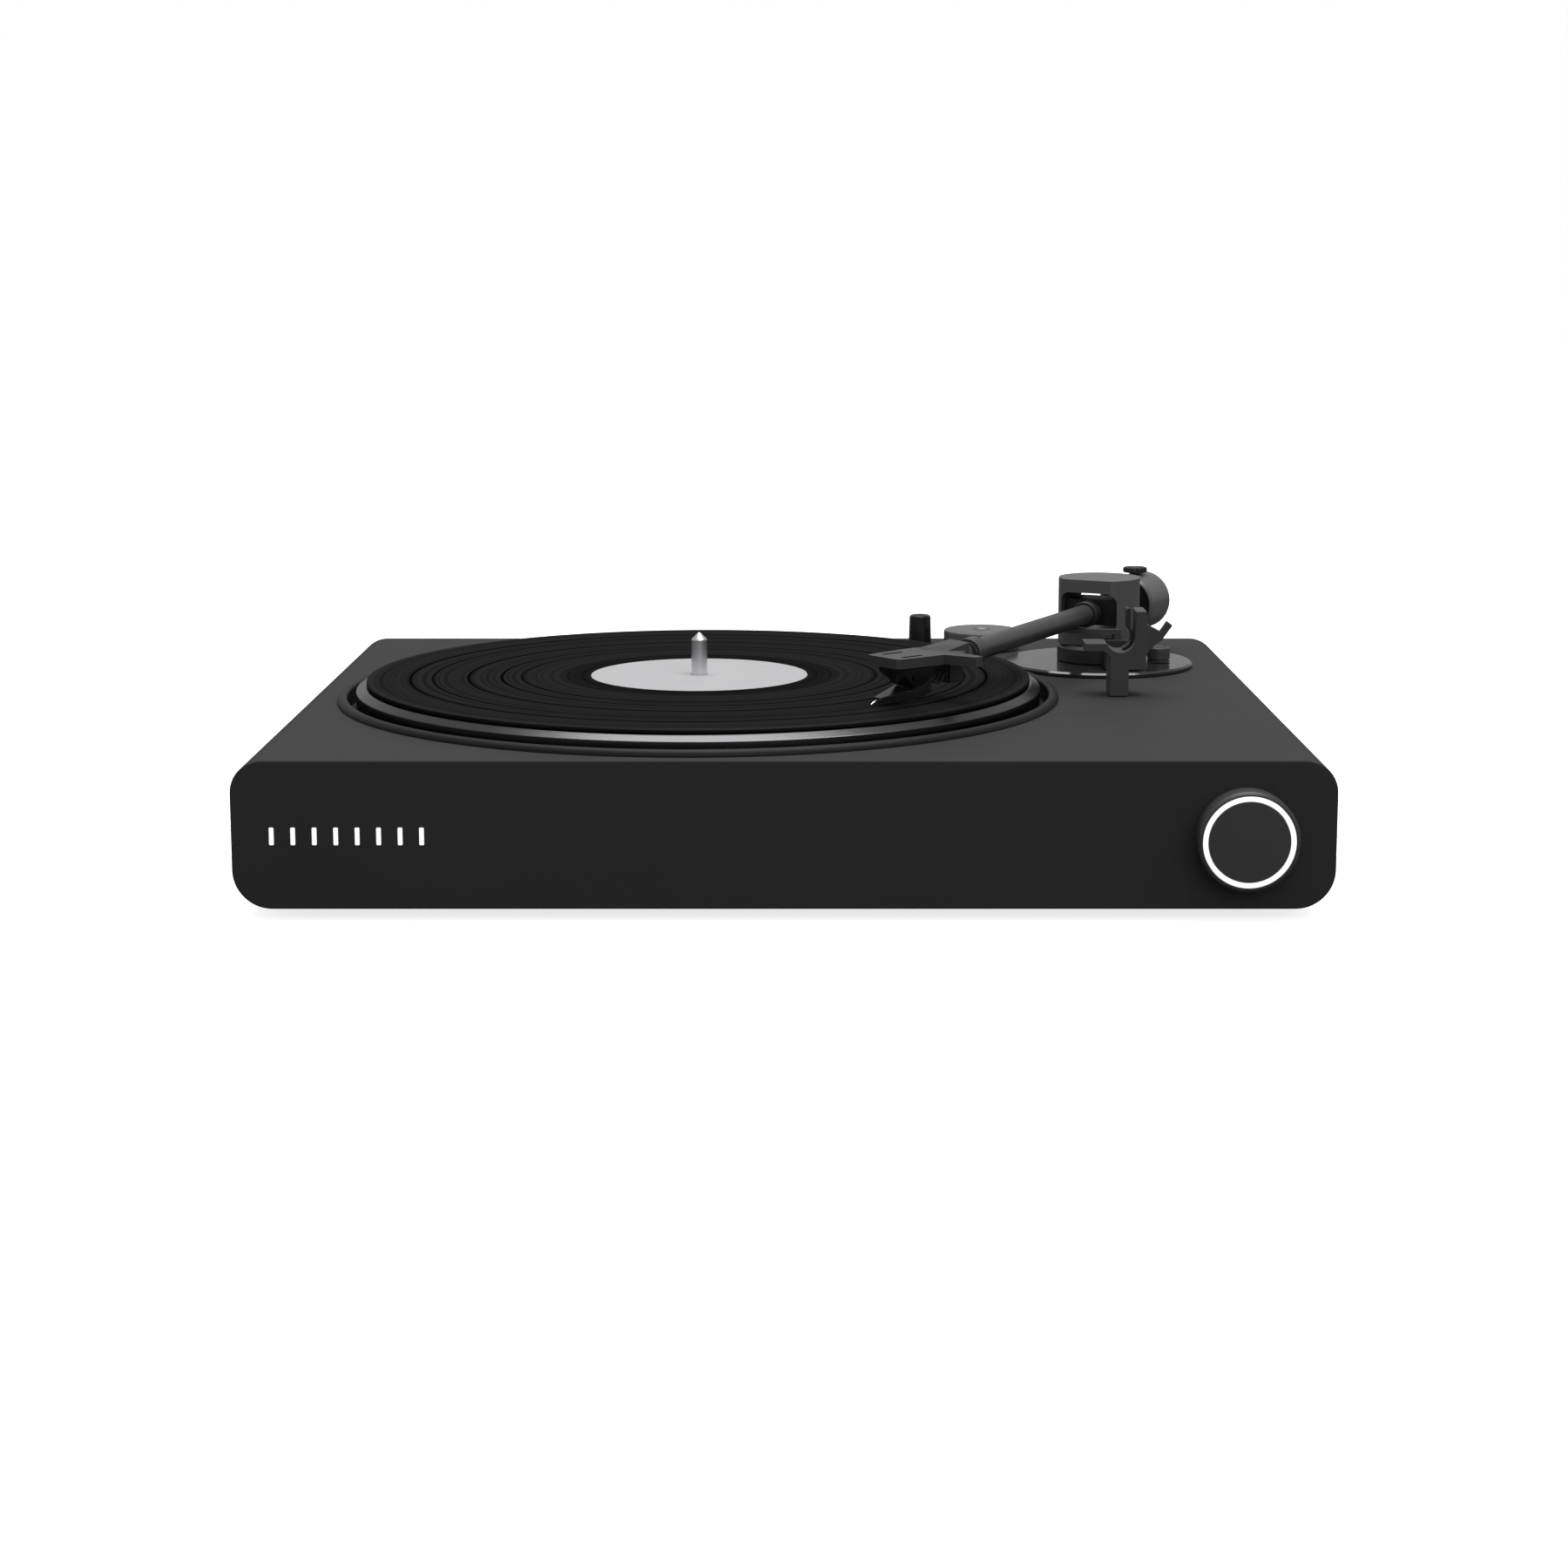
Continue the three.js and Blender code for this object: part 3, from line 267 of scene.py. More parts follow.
def wear_coat(piece, coat):
    piece.data.materials.clear()
    piece.data.materials.append(coat)


def finish_piece(piece, coat, node, body):
    """Coats a piece, puts it in place of its node and lets it ride on the body it belongs to."""
    wear_coat(piece, coat)
    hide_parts(node)
    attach(piece, body)


def coat_node(node, coat):
    for slot in frame["nodes"][node].material_slots:
        slot.material = coat


top_round, bottom_round = 0.0135, 0.016
end_round = 0.0009
bay_wall, deck_thickness = 0.022, 0.017
spindle_x, spindle_y, _ = middle_of("spindle")
ring_low, ring_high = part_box("well_ring")
liner_radius = (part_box("platter")[1][0] - spindle_x) + 0.0063
plinth = block("plinth_shell", plinth_low, plinth_high)
bevel_edges(plinth, top_round, 14, lambda a, b: a.x == b.x and a.z == b.z == max(a.z, deck_z - 1e-6))
bevel_edges(plinth, bottom_round, 14, lambda a, b: abs(a.x - b.x) < 1e-6 and abs(a.z - plinth_low[2]) < 1e-6
            and abs(b.z - plinth_low[2]) < 1e-6 and abs(abs(a.x) - plinth_high[0]) < 1e-6)
bevel_edges(plinth, end_round, 3, lambda a, b: abs(a.y - b.y) < 1e-6)
dish_depth, pocket_radius, pocket_depth = 0.0055, 0.115, 0.012
spindle_line = at(spindle_x, spindle_y, deck_z)
carve(plinth, rod("dish_cut", liner_radius, -dish_depth, 0.01, spindle_line, 256))
carve(plinth, rod("pocket_cut", pocket_radius, -pocket_depth, 0.01, spindle_line, 128))
carve(plinth, rod("bearing_cut", 0.0115, -0.03, 0.01, spindle_line))
carve(plinth, block("bay_cut", (plinth_low[0] + bay_wall, plinth_low[1] + bay_wall, plinth_low[2] - 0.01),
                    (plinth_high[0] - bay_wall, plinth_high[1] - bay_wall, deck_z - deck_thickness)))
pulley_x, pulley_y, _ = middle_of("motor_pulley")
pivot_x, pivot_y, _ = middle_of("swing_shaft")
selector_x, selector_y, _ = middle_of("speed_selector")
for bore_x, bore_y, bore_radius in ((pulley_x, pulley_y, 0.0045), (pivot_x, pivot_y, 0.005),
                                    (selector_x, selector_y, 0.0029)):
    carve(plinth, rod("deck_bore", bore_radius, -0.03, 0.01, at(bore_x, bore_y, deck_z), 32))
knob_x, _, knob_z = middle_of("knob_body")
facing_forward = Matrix.Rotation(math.radians(90), 4, "X")
knob_axis = at(knob_x, front_y, knob_z) @ facing_forward
carve(plinth, rod("knob_bore", 0.0034, -0.03, 0.01, knob_axis, 32))
panel_low, panel_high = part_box("rear_panel")
gap = 0.0003
carve(plinth, block("panel_recess", (panel_low[0] - gap, panel_low[1] - gap, panel_low[2] - gap),
                    (panel_high[0] + gap, panel_high[1] + 0.01, panel_high[2] + gap)))
carve(plinth, block("panel_window", (panel_low[0] + 0.005, panel_low[1] - 0.03, panel_low[2] + 0.005),
                    (panel_high[0] - 0.005, panel_high[1] + 0.01, panel_high[2] - 0.005)))
crisp(plinth, 25)
plinth_lacquer = satin_black("plinth_lacquer", 0.034, 0.62, 0.25, 0.0006, gloss=0.05)
finish_piece(plinth, plinth_lacquer, "plinth", "root")

# ---- Bottom cover and feet --------------------------------------------------------------
# A matt moulded tray closes the works from below and carries four soft rubber feet, each a
# turned puck with a rounded rim and a shallow ring pressed into its sole.


def turned_piece(name, profile, place=None, sides=96):
    """Stacks rings of (radius, height) up Z, caps open ends and joins a closed profile."""
    bpy.ops.object.select_all(action="DESELECT")
    (first_radius, first_height), rest = profile[0], profile[1:]
    closed_ring = Vector(profile[0]) == Vector(profile[-1])
    start_fill = "NOTHING" if closed_ring else "NGON"
    bpy.ops.mesh.primitive_circle_add(
        vertices=sides, radius=first_radius, fill_type=start_fill, location=(0, 0, first_height))
    piece = bpy.context.object
    piece.name = name
    settle(piece)
    bpy.ops.object.mode_set(mode="EDIT")
    bpy.ops.mesh.select_mode(type="EDGE")
    bpy.ops.mesh.select_all(action="SELECT")
    if not closed_ring:
        bpy.ops.mesh.region_to_loop()
    radius, height = first_radius, first_height
    for next_radius, next_height in rest:
        bpy.ops.mesh.extrude_edges_move(TRANSFORM_OT_translate={"value": (0, 0, next_height - height)})
        ratio = next_radius / radius
        bpy.ops.transform.resize(value=(ratio, ratio, 1), center_override=(0, 0, next_height))
        radius, height = next_radius, next_height
    if not closed_ring:
        bpy.ops.mesh.edge_face_add()
    bpy.ops.mesh.select_all(action="SELECT")
    bpy.ops.mesh.remove_doubles(threshold=1e-6)
    bpy.ops.mesh.normals_make_consistent(inside=False)
    bpy.ops.object.mode_set(mode="OBJECT")
    crisp(piece, 30)
    if place is not None:
        settle(piece, place)
    return piece


def soft_rubber(name, shade):
    return satin_black(name, shade, 0.85, 0.35, 0.0008, gloss=0.2)


foot_rubber = soft_rubber("foot_rubber", 0.012)
for corner in ("front_left", "front_right", "back_left", "back_right"):
    node = "foot_" + corner
    low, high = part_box(node)
    foot_x, foot_y, _ = middle_of(node)
    radius, top = (high[0] - low[0]) / 2, high[2]
    puck = turned_piece("rubber_" + node, [(0.009, 0.0006), (0.0095, 0), (radius - 0.0018, 0),
                        (radius - 0.0007, 0.0003), (radius, 0.0016), (radius, top)], at(foot_x, foot_y), 64)
    finish_piece(puck, foot_rubber, node, "root")
cover_low, cover_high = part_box("bottom_cover")
tray = block("cover_tray", cover_low, cover_high)
round_edges(tray, 0.0006, 2)
cover_plastic = satin_black("cover_plastic", 0.015, 0.65, 0.5, 0.0009)
finish_piece(tray, cover_plastic, "bottom_cover", "root")

# ---- Well ring --------------------------------------------------------------------------
# A smooth black lip lines the platter's well and stands a few millimetres proud of the deck,
# so it shows as a raised bead all the way round.
well_radius = liner_radius - 0.002 - gap
bead_radius = (ring_high[0] - ring_low[0]) / 2
bead_top = ring_high[2] - deck_z
liner_bottom = ring_low[2] - deck_z
bead = turned_piece("well_bead", [(well_radius, liner_bottom), (well_radius + 0.002, liner_bottom),
                    (well_radius + 0.002, 0.0002), (bead_radius, 0.0002), (bead_radius, 0.0009),
                    (bead_radius - 0.0004, 0.0018), (bead_radius - 0.0011, 0.0025),
                    (bead_radius - 0.002, bead_top), (well_radius + 0.0012, bead_top),
                    (well_radius + 0.0004, bead_top - 0.0003), (well_radius, bead_top - 0.0009),
                    (well_radius, liner_bottom)], spindle_line, 256)
ring_plastic = satin_black("ring_plastic", 0.014, 0.5, 0.1, 0.0005, gloss=0.12)
finish_piece(bead, ring_plastic, "well_ring", "root")

# ---- Platter and slipmat ----------------------------------------------------------------
# The platter is a turned aluminium disc, anodised satin black. Its rim is cut to a broad
# bevel that catches the light, above a plain wall that drops into the well.
platter_low, platter_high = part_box("platter")
rim_radius = (platter_high[0] - platter_low[0]) / 2
rim_top = platter_high[2] - deck_z
rim_bottom = platter_low[2] - deck_z
mat_seat = 0.0052
disc = turned_piece("turned_platter", [(0.0053, rim_bottom), (rim_radius - 0.0003, rim_bottom),
                    (rim_radius, rim_bottom + 0.0003), (rim_radius, 0.00475), (rim_radius - 0.00012, 0.00495),
                    (rim_radius - 0.0004, 0.00515), (0.1517, rim_top - 0.0001), (0.1514, rim_top),
                    (0.1499, rim_top), (0.1499, mat_seat), (0.0053, mat_seat), (0.0053, rim_bottom)],
                    spindle_line, 256)


def distance_from_axis(tree, centre):
    """The distance of each point from a vertical axis, for rings that follow it."""
    nodes, links = tree.nodes, tree.links
    where = nodes.new("ShaderNodeTexCoord")
    shift = nodes.new("ShaderNodeMapping")
    shift.inputs["Location"].default_value = (-centre[0], -centre[1], 0)
    split = nodes.new("ShaderNodeSeparateXYZ")
    flat = nodes.new("ShaderNodeCombineXYZ")
    length = nodes.new("ShaderNodeVectorMath")
    length.operation = "LENGTH"
    links.new(where.outputs["Object"], shift.inputs["Vector"])
    links.new(shift.outputs["Vector"], split.inputs["Vector"])
    links.new(split.outputs["X"], flat.inputs["X"])
    links.new(split.outputs["Y"], flat.inputs["Y"])
    links.new(flat.outputs["Vector"], length.inputs[0])
    return length.outputs["Value"]


def turned_metal(name, shade, roughness, centre, pitch, gloss=0.5):
    """Dark anodised metal with fine turning rings round a vertical axis."""
    metal = satin_black(name, shade, roughness, 0.08, 0.0004, gloss, 1.0)
    nodes, links = metal.node_tree.nodes, metal.node_tree.links
    rings = nodes.new("ShaderNodeTexNoise")
    rings.noise_dimensions = "1D"
    rings.inputs["Scale"].default_value = 1 / pitch
    bump = nodes["Bump"]
    stronger = nodes.new("ShaderNodeBump")
    stronger.inputs["Strength"].default_value = 0.12
    stronger.inputs["Distance"].default_value = pitch
    links.new(distance_from_axis(metal.node_tree, centre), rings.inputs["W"])
    links.new(rings.outputs["Fac"], stronger.inputs["Height"])
    links.new(bump.outputs["Normal"], stronger.inputs["Normal"])
    links.new(stronger.outputs["Normal"], nodes["Principled BSDF"].inputs["Normal"])
    return metal


platter_metal = turned_metal("platter_metal", 0.075, 0.25, (spindle_x, spindle_y), 0.0004)
finish_piece(disc, platter_metal, "platter", "platter")
mat_rubber = soft_rubber("mat_rubber", 0.014)
coat_node("slipmat", mat_rubber)

# ---- Record and label -------------------------------------------------------------------
# A pressed twelve-inch disc: a smooth rim, a lead-in, bands of fine groove parted by plain
# rings, the dead wax, and a plain grey paper label pressed into the middle.
record_low, record_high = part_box("record")
record_radius = (record_high[0] - record_low[0]) / 2
record_top = record_high[2] - deck_z
record_bottom = record_low[2] - deck_z
hole_radius = 0.0039
groove_top = record_top - 0.00008
band_edges = (0.1310, 0.1210, 0.1050, 0.0900, 0.0810)
surface = [(hole_radius, record_bottom), (record_radius - 0.0005, record_bottom),
           (record_radius - 0.0001, record_bottom + 0.0003), (record_radius, record_bottom + 0.0008),
           (record_radius - 0.0001, record_top - 0.0003), (record_radius - 0.0004, record_top - 0.00005),
           (record_radius - 0.001, record_top), (0.1475, record_top), (0.1470, groove_top)]
for edge in band_edges:
    surface += [(edge + 0.0007, groove_top), (edge + 0.0004, groove_top - 0.00009),
                (edge - 0.0004, groove_top - 0.00009), (edge - 0.0007, groove_top)]
label_low, label_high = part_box("record_label")
label_radius = (label_high[0] - label_low[0]) / 2
surface += [(0.0620, groove_top), (0.0616, groove_top - 0.0001), (0.0510, groove_top - 0.0001),
            (0.0505, record_top - 0.00002), (label_radius + 0.0003, record_top - 0.00002),
            (label_radius + 0.0003, label_low[2] - deck_z - 0.0001),
            (hole_radius, label_low[2] - deck_z - 0.0001),
            (hole_radius, record_bottom)]
vinyl_disc = turned_piece("vinyl_record", surface, spindle_line, 256)


def pressed_vinyl():
    """Black vinyl whose shade, gloss and relief change with the distance from the spindle."""
    vinyl = bpy.data.materials.new("pressed_vinyl")
    vinyl.use_nodes = True
    nodes, links = vinyl.node_tree.nodes, vinyl.node_tree.links
    shader = nodes["Principled BSDF"]
    shader.inputs["Specular IOR Level"].default_value = 0
    shader.inputs["Specular Tint"].default_value = (0.4, 0.4, 0.4, 1)
    radius = distance_from_axis(vinyl.node_tree, (spindle_x, spindle_y))

    def ring_noise(scale, detail):
        noise = nodes.new("ShaderNodeTexNoise")
        noise.noise_dimensions = "1D"
        noise.inputs["Scale"].default_value = scale
        noise.inputs["Detail"].default_value = detail
        links.new(radius, noise.inputs["W"])
        return noise.outputs["Fac"]

    loudness = ring_noise(420, 3)
    groove = ring_noise(2600, 1)
    shade = nodes.new("ShaderNodeValToRGB")
    shade.color_ramp.elements[0].position = 0.36
    shade.color_ramp.elements[0].color = (0.012, 0.012, 0.0122, 1)
    shade.color_ramp.elements[1].position = 0.64
    shade.color_ramp.elements[1].color = (0.028, 0.028, 0.0285, 1)
    links.new(loudness, shade.inputs["Fac"])
    # The groove scatters light like brushed metal; plain rings and dead wax stay black.
    groove_gloss = 0.6
    plain = nodes.new("ShaderNodeValToRGB")
    plain.color_ramp.interpolation = "LINEAR"
    stops = plain.color_ramp.elements
    stops[0].position = 0
    stops[0].color = (0.3, 0.3, 0.3, 1)
    stops[1].position = 1
    stops[1].color = (1, 1, 1, 1)

    def stop(at_radius, value):
        mark = stops.new(at_radius / record_radius)
        mark.color = (value, value, value, 1)

    stop(0.0612, 0.3)
    stop(0.0622, groove_gloss)
    stop(0.1472, groove_gloss)
    stop(0.1478, 1)
    for edge, depth in zip(band_edges, (0.03, 0.12, 0.03, 0.03, 0.15)):
        stop(edge - 0.0010, groove_gloss)
        stop(edge - 0.0005, depth)
        stop(edge + 0.0005, depth)
        stop(edge + 0.0010, groove_gloss)
    share = nodes.new("ShaderNodeMath")
    share.operation = "DIVIDE"
    share.inputs[1].default_value = record_radius
    links.new(radius, share.inputs[0])
    links.new(share.outputs["Value"], plain.inputs["Fac"])
    darken = nodes.new("ShaderNodeMix")
    darken.data_type = "RGBA"
    darken.blend_type = "MULTIPLY"
    darken.inputs["Factor"].default_value = 1
    links.new(shade.outputs["Color"], darken.inputs["A"])
    links.new(plain.outputs["Color"], darken.inputs["B"])
    links.new(darken.outputs["Result"], shader.inputs["Base Color"])
    glint = nodes.new("ShaderNodeMapRange")
    glint.inputs["From Min"].default_value = 0.36
    glint.inputs["From Max"].default_value = 0.64
    glint.inputs["To Min"].default_value = 0.45
    links.new(loudness, glint.inputs["Value"])
    sheen = nodes.new("ShaderNodeMath")
    sheen.operation = "MULTIPLY"
    links.new(glint.outputs["Result"], sheen.inputs[0])
    links.new(plain.outputs["Color"], sheen.inputs[1])
    links.new(sheen.outputs["Value"], shader.inputs["Metallic"])
    polish = nodes.new("ShaderNodeMapRange")
    polish.inputs["To Min"].default_value = 0.34
    polish.inputs["To Max"].default_value = 0.52
    links.new(loudness, polish.inputs["Value"])
    links.new(polish.outputs["Result"], shader.inputs["Roughness"])
    relief = nodes.new("ShaderNodeBump")
    relief.inputs["Strength"].default_value = 0.35
    relief.inputs["Distance"].default_value = 0.0002
    links.new(groove, relief.inputs["Height"])
    links.new(relief.outputs["Normal"], shader.inputs["Normal"])
    return vinyl


finish_piece(vinyl_disc, pressed_vinyl(), "record", "platter")

label_top = label_high[2] - deck_z
label_bottom = label_low[2] - deck_z
paper = turned_piece("paper_label", [(hole_radius, label_bottom), (label_radius - 0.0001, label_bottom),
                     (label_radius, label_bottom + 0.0001), (label_radius - 0.0001, label_top - 0.0001),
                     (label_radius - 0.0012, label_top), (0.0350, label_top), (0.0346, label_top - 0.0001),
                     (0.0338, label_top - 0.0001), (0.0334, label_top), (hole_radius + 0.0004, label_top),
                     (hole_radius, label_top - 0.0002), (hole_radius, label_bottom)], spindle_line, 192)
label_paper = satin_black("label_paper", 0.34, 0.75, 0.15, 0.0004, gloss=0.15)
finish_piece(paper, label_paper, "record_label", "platter")

# ---- Spindle ----------------------------------------------------------------------------
# A polished steel pin with a cone at its tip stands through the label; its thick shaft runs
# down into the bearing.
spindle_low, spindle_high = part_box("spindle")
pin_radius = 0.0036
tip = spindle_high[2] - deck_z
pin = turned_piece("steel_spindle", [(0.0047, spindle_low[2] - deck_z),
                   (0.005, spindle_low[2] - deck_z + 0.0003),
                   (0.005, 0.0049), (pin_radius, 0.0049), (pin_radius, tip - 0.0034),
                   (pin_radius - 0.0002, tip - 0.0029), (0.0009, tip - 0.0003), (0.0004, tip)],
                   spindle_line, 64)


def bright_steel(name, shade, roughness, brush=0.0003):
    """Plated or polished steel with faint brushing along Z."""
    metal = satin_black(name, shade, roughness, 0.05, brush, 0.5, 1.0)
    grain = metal.node_tree.nodes["Noise Texture"]
    stretch = metal.node_tree.nodes.new("ShaderNodeMapping")
    stretch.inputs["Scale"].default_value = (1, 1, 0.05)
    metal.node_tree.links.new(metal.node_tree.nodes["Texture Coordinate"].outputs["Object"],
                              stretch.inputs["Vector"])
    metal.node_tree.links.new(stretch.outputs["Vector"], grain.inputs["Vector"])
    return metal


spindle_steel = bright_steel("spindle_steel", 0.72, 0.28)
finish_piece(pin, spindle_steel, "spindle", "platter")

# ---- Hidden works -----------------------------------------------------------------------
# Under the platter and the deck: hub, belt, motor, bearing and circuit board. These keep the
# frame's own shapes and get their real finishes.
hub_plastic = satin_black("hub_plastic", 0.03, 0.55, 0.2, 0.0007)
motor_steel = bright_steel("motor_steel", 0.5, 0.35)


def cast_brass():
    brass = bright_steel("turned_brass", 0.5, 0.3)
    tone = brass.node_tree.nodes["Mix"]
    tone.inputs["A"].default_value = (0.56, 0.38, 0.14, 1)
    tone.inputs["B"].default_value = (0.72, 0.52, 0.22, 1)
    return brass


turned_brass = cast_brass()
board_mask = satin_black("board_mask", 0.05, 0.45, 0.2, 0.0006)
board_mask.node_tree.nodes["Mix"].inputs["A"].default_value = (0.012, 0.06, 0.03, 1)
board_mask.node_tree.nodes["Mix"].inputs["B"].default_value = (0.02, 0.09, 0.045, 1)
for node, coat in (("drive_hub", hub_plastic), ("drive_belt", mat_rubber), ("motor_pulley", turned_brass),
                   ("motor_mount", motor_steel), ("motor_body", motor_steel),
                   ("bearing_housing", motor_steel),
                   ("bearing_bush", turned_brass), ("main_board", board_mask), ("knob_encoder", hub_plastic),
                   ("knob_shaft", motor_steel), ("swing_shaft", motor_steel)):
    coat_node(node, coat)

# ---- Front knob -------------------------------------------------------------------------
# A broad turned knob with a chamfered rim. A milky light ring is let into its face, round a
# flat dark disc.
knob_low, knob_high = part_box("knob_body")
knob_radius = (knob_high[0] - knob_low[0]) / 2
stand_out = front_y - knob_low[1]
knob_back = front_y - knob_high[1]
ring_outer, ring_inner, ring_depth = 0.0187, 0.0165, 0.003
cap = turned_piece("knob_cap", [(0.0033, knob_back + 0.0085), (0.0033, knob_back),
                   (knob_radius - 0.0004, knob_back),
                   (knob_radius, knob_back + 0.0004), (knob_radius, stand_out - 0.0013),
                   (knob_radius - 0.0002, stand_out - 0.0008), (knob_radius - 0.0011, stand_out - 0.00005),
                   (knob_radius - 0.0014, stand_out), (ring_outer + 0.0001, stand_out),
                   (ring_outer, stand_out - 0.0001), (ring_outer, stand_out - ring_depth),
                   (ring_inner, stand_out - ring_depth), (ring_inner, stand_out - 0.0003),
                   (ring_inner - 0.0003, stand_out)], knob_axis, 160)
knob_coat = satin_black("knob_coat", 0.042, 0.4, 0.12, 0.0004, gloss=0.35)
finish_piece(cap, knob_coat, "knob_body", "knob")
guide_gap = 0.00015
guide = turned_piece("light_guide", [(ring_inner + guide_gap, stand_out - 0.0027),
                     (ring_outer - guide_gap, stand_out - 0.0027),
                     (ring_outer - guide_gap, stand_out - 0.0002),
                     (ring_outer - 0.0004, stand_out), (ring_inner + 0.0004, stand_out),
                     (ring_inner + guide_gap, stand_out - 0.0002),
                     (ring_inner + guide_gap, stand_out - 0.0027)],
                     knob_axis, 160)
ring_glow = satin_black("ring_glow", 0.8, 0.35, 0.02, 0.0005, gloss=0.4)
ring_shader = ring_glow.node_tree.nodes["Principled BSDF"]
ring_shader.inputs["Emission Color"].default_value = (1, 1, 1, 1)
ring_shader.inputs["Emission Strength"].default_value = 0.9
finish_piece(guide, ring_glow, "knob_light_ring", "knob")

# ---- Front trim bars --------------------------------------------------------------------
# A plain row of thin white printed bars decorates the left end of the front face. They are
# pad-printed, so they stand only a hair proud of the lacquer. The white print is given a
# faint emission glow, which is painted light: the print itself does not glow.


def copy_of(piece, name, place):
    """A copy of a finished piece with its own mesh, put somewhere else."""
    twin = piece.copy()
    twin.data = piece.data.copy()
    twin.name = name
    scene.collection.objects.link(twin)
    settle(twin, place)
    return twin


bar_count, bar_width, bar_height = 8, 0.0019, 0.0072
row_left, row_right, row_z = -0.2070, -0.1447, deck_z - 0.0309
print_white_painted_glow = satin_black("print_white_painted_glow", 0.82, 0.6, 0.05, 0.0004, gloss=0.3)
# Painted light: the print is made to glow so it reads brighter than its lighting makes it.
print_painted_glow_shader = print_white_painted_glow.node_tree.nodes["Principled BSDF"]
print_painted_glow_shader.inputs["Emission Color"].default_value = (1, 1, 1, 1)
print_painted_glow_shader.inputs["Emission Strength"].default_value = 0.6
bar_pitch = (row_right - row_left - bar_width) / (bar_count - 1)
first_bar = block("trim_bar_1", (row_left, front_y - 0.00015, row_z - bar_height / 2),
                  (row_left + bar_width, front_y + 0.0003, row_z + bar_height / 2))
bevel_edges(first_bar, 0.0004, 3, lambda a, b: abs(a.x - b.x) < 1e-6 and abs(a.z - b.z) < 1e-6)
wear_coat(first_bar, print_white_painted_glow)
for number in range(bar_count):
    shift_right = at(bar_pitch * number, 0)
    bar = first_bar if number == 0 else copy_of(first_bar, f"trim_bar_{number + 1}", shift_right)
    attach(bar, "root")

# ---- Arm base plate and pedestal --------------------------------------------------------
# A round plate of polished black acrylic lies on the deck under the arm, its edge cut to a
# bright bevel. A turned pedestal stands on it and carries the swinging yoke.
plate_low, plate_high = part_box("arm_base_plate")
plate_radius = (plate_high[0] - plate_low[0]) / 2
plate_foot, plate_top = plate_low[2] - deck_z, plate_high[2] - deck_z
shaft_hole, plate_bevel = 0.00495, 0.0009
pivot_line = at(pivot_x, pivot_y, deck_z)
base_plate = turned_piece("acrylic_base_plate", [(shaft_hole, plate_foot),
                          (plate_radius - 0.0002, plate_foot),
                          (plate_radius, plate_foot + 0.0002), (plate_radius, plate_top - plate_bevel),
                          (plate_radius - plate_bevel * 0.92, plate_top - 0.00008),
                          (plate_radius - plate_bevel * 1.1, plate_top), (shaft_hole, plate_top),
                          (shaft_hole, plate_foot)], pivot_line, 192)
gloss_acrylic = satin_black("gloss_acrylic", 0.02, 0.12, 0.02, 0.002, gloss=0.6)
finish_piece(base_plate, gloss_acrylic, "arm_base_plate", "root")
stand_low, stand_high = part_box("arm_pedestal")
stand_radius = (stand_high[0] - stand_low[0]) / 2
stand_foot, stand_top, stand_chamfer = stand_low[2] - deck_z, stand_high[2] - deck_z, 0.0015
pedestal = turned_piece("turned_pedestal", [(shaft_hole, stand_foot), (stand_radius - 0.0003, stand_foot),
                        (stand_radius, stand_foot + 0.0003),
                        (stand_radius, stand_top - stand_chamfer - 0.0002),
                        (stand_radius - 0.0001, stand_top - stand_chamfer),
                        (stand_radius - stand_chamfer, stand_top - 0.0001),
                        (stand_radius - stand_chamfer - 0.0002, stand_top), (shaft_hole, stand_top),
                        (shaft_hole, stand_foot)], pivot_line, 128)
pedestal_black = satin_black("pedestal_black", 0.018, 0.42, 0.12, 0.0005, gloss=0.35)
finish_piece(pedestal, pedestal_black, "arm_pedestal", "root")

# ---- Yoke -------------------------------------------------------------------------------
# The housing that swings with the arm is milled from round aluminium bar: a flat front, a
# window right through it for the tube, and softly broken edges under satin black anodising.
pivot_z = middle_of("pivot_pin_left")[2]
parked_swing = next(j for j in frame["joints"] if j["name"] == "arm_swing")["range_deg"][1]
arm_space = at(pivot_x, pivot_y, pivot_z) @ Matrix.Rotation(math.radians(-parked_swing), 4, "Z")
yoke_radius, yoke_low, yoke_high = 0.0197, -0.0156, 0.0163
yoke_flat, window_half, window_sill, window_head, window_round = 0.0158, 0.0143, -0.0095, 0.010, 0.0048
across = Matrix.Rotation(math.radians(90), 4, "Y")
pin_bore = 0.0027
housing = rod("milled_yoke", yoke_radius, yoke_low, yoke_high, sides=160)
carve(housing, block("flat_cut", (-0.03, -0.05, -0.03), (0.03, -yoke_flat, 0.03)))
window = block("window_cut", (-window_half, -0.03, window_sill), (window_half, 0.03, window_head))
bevel_edges(window, window_round, 8, lambda a, b: abs(a.x - b.x) < 1e-6 and abs(a.z - b.z) < 1e-6)
carve(housing, window)
carve(housing, rod("pin_bores", pin_bore, -0.03, 0.03, across, 40))
round_edges(housing, 0.0006, 3, 28)
settle(housing, arm_space)
anodised_black = satin_black("anodised_black", 0.1, 0.4, 0.15, 0.00035, gloss=0.35, metal=0.3)
finish_piece(housing, anodised_black, "yoke", "arm_housing")

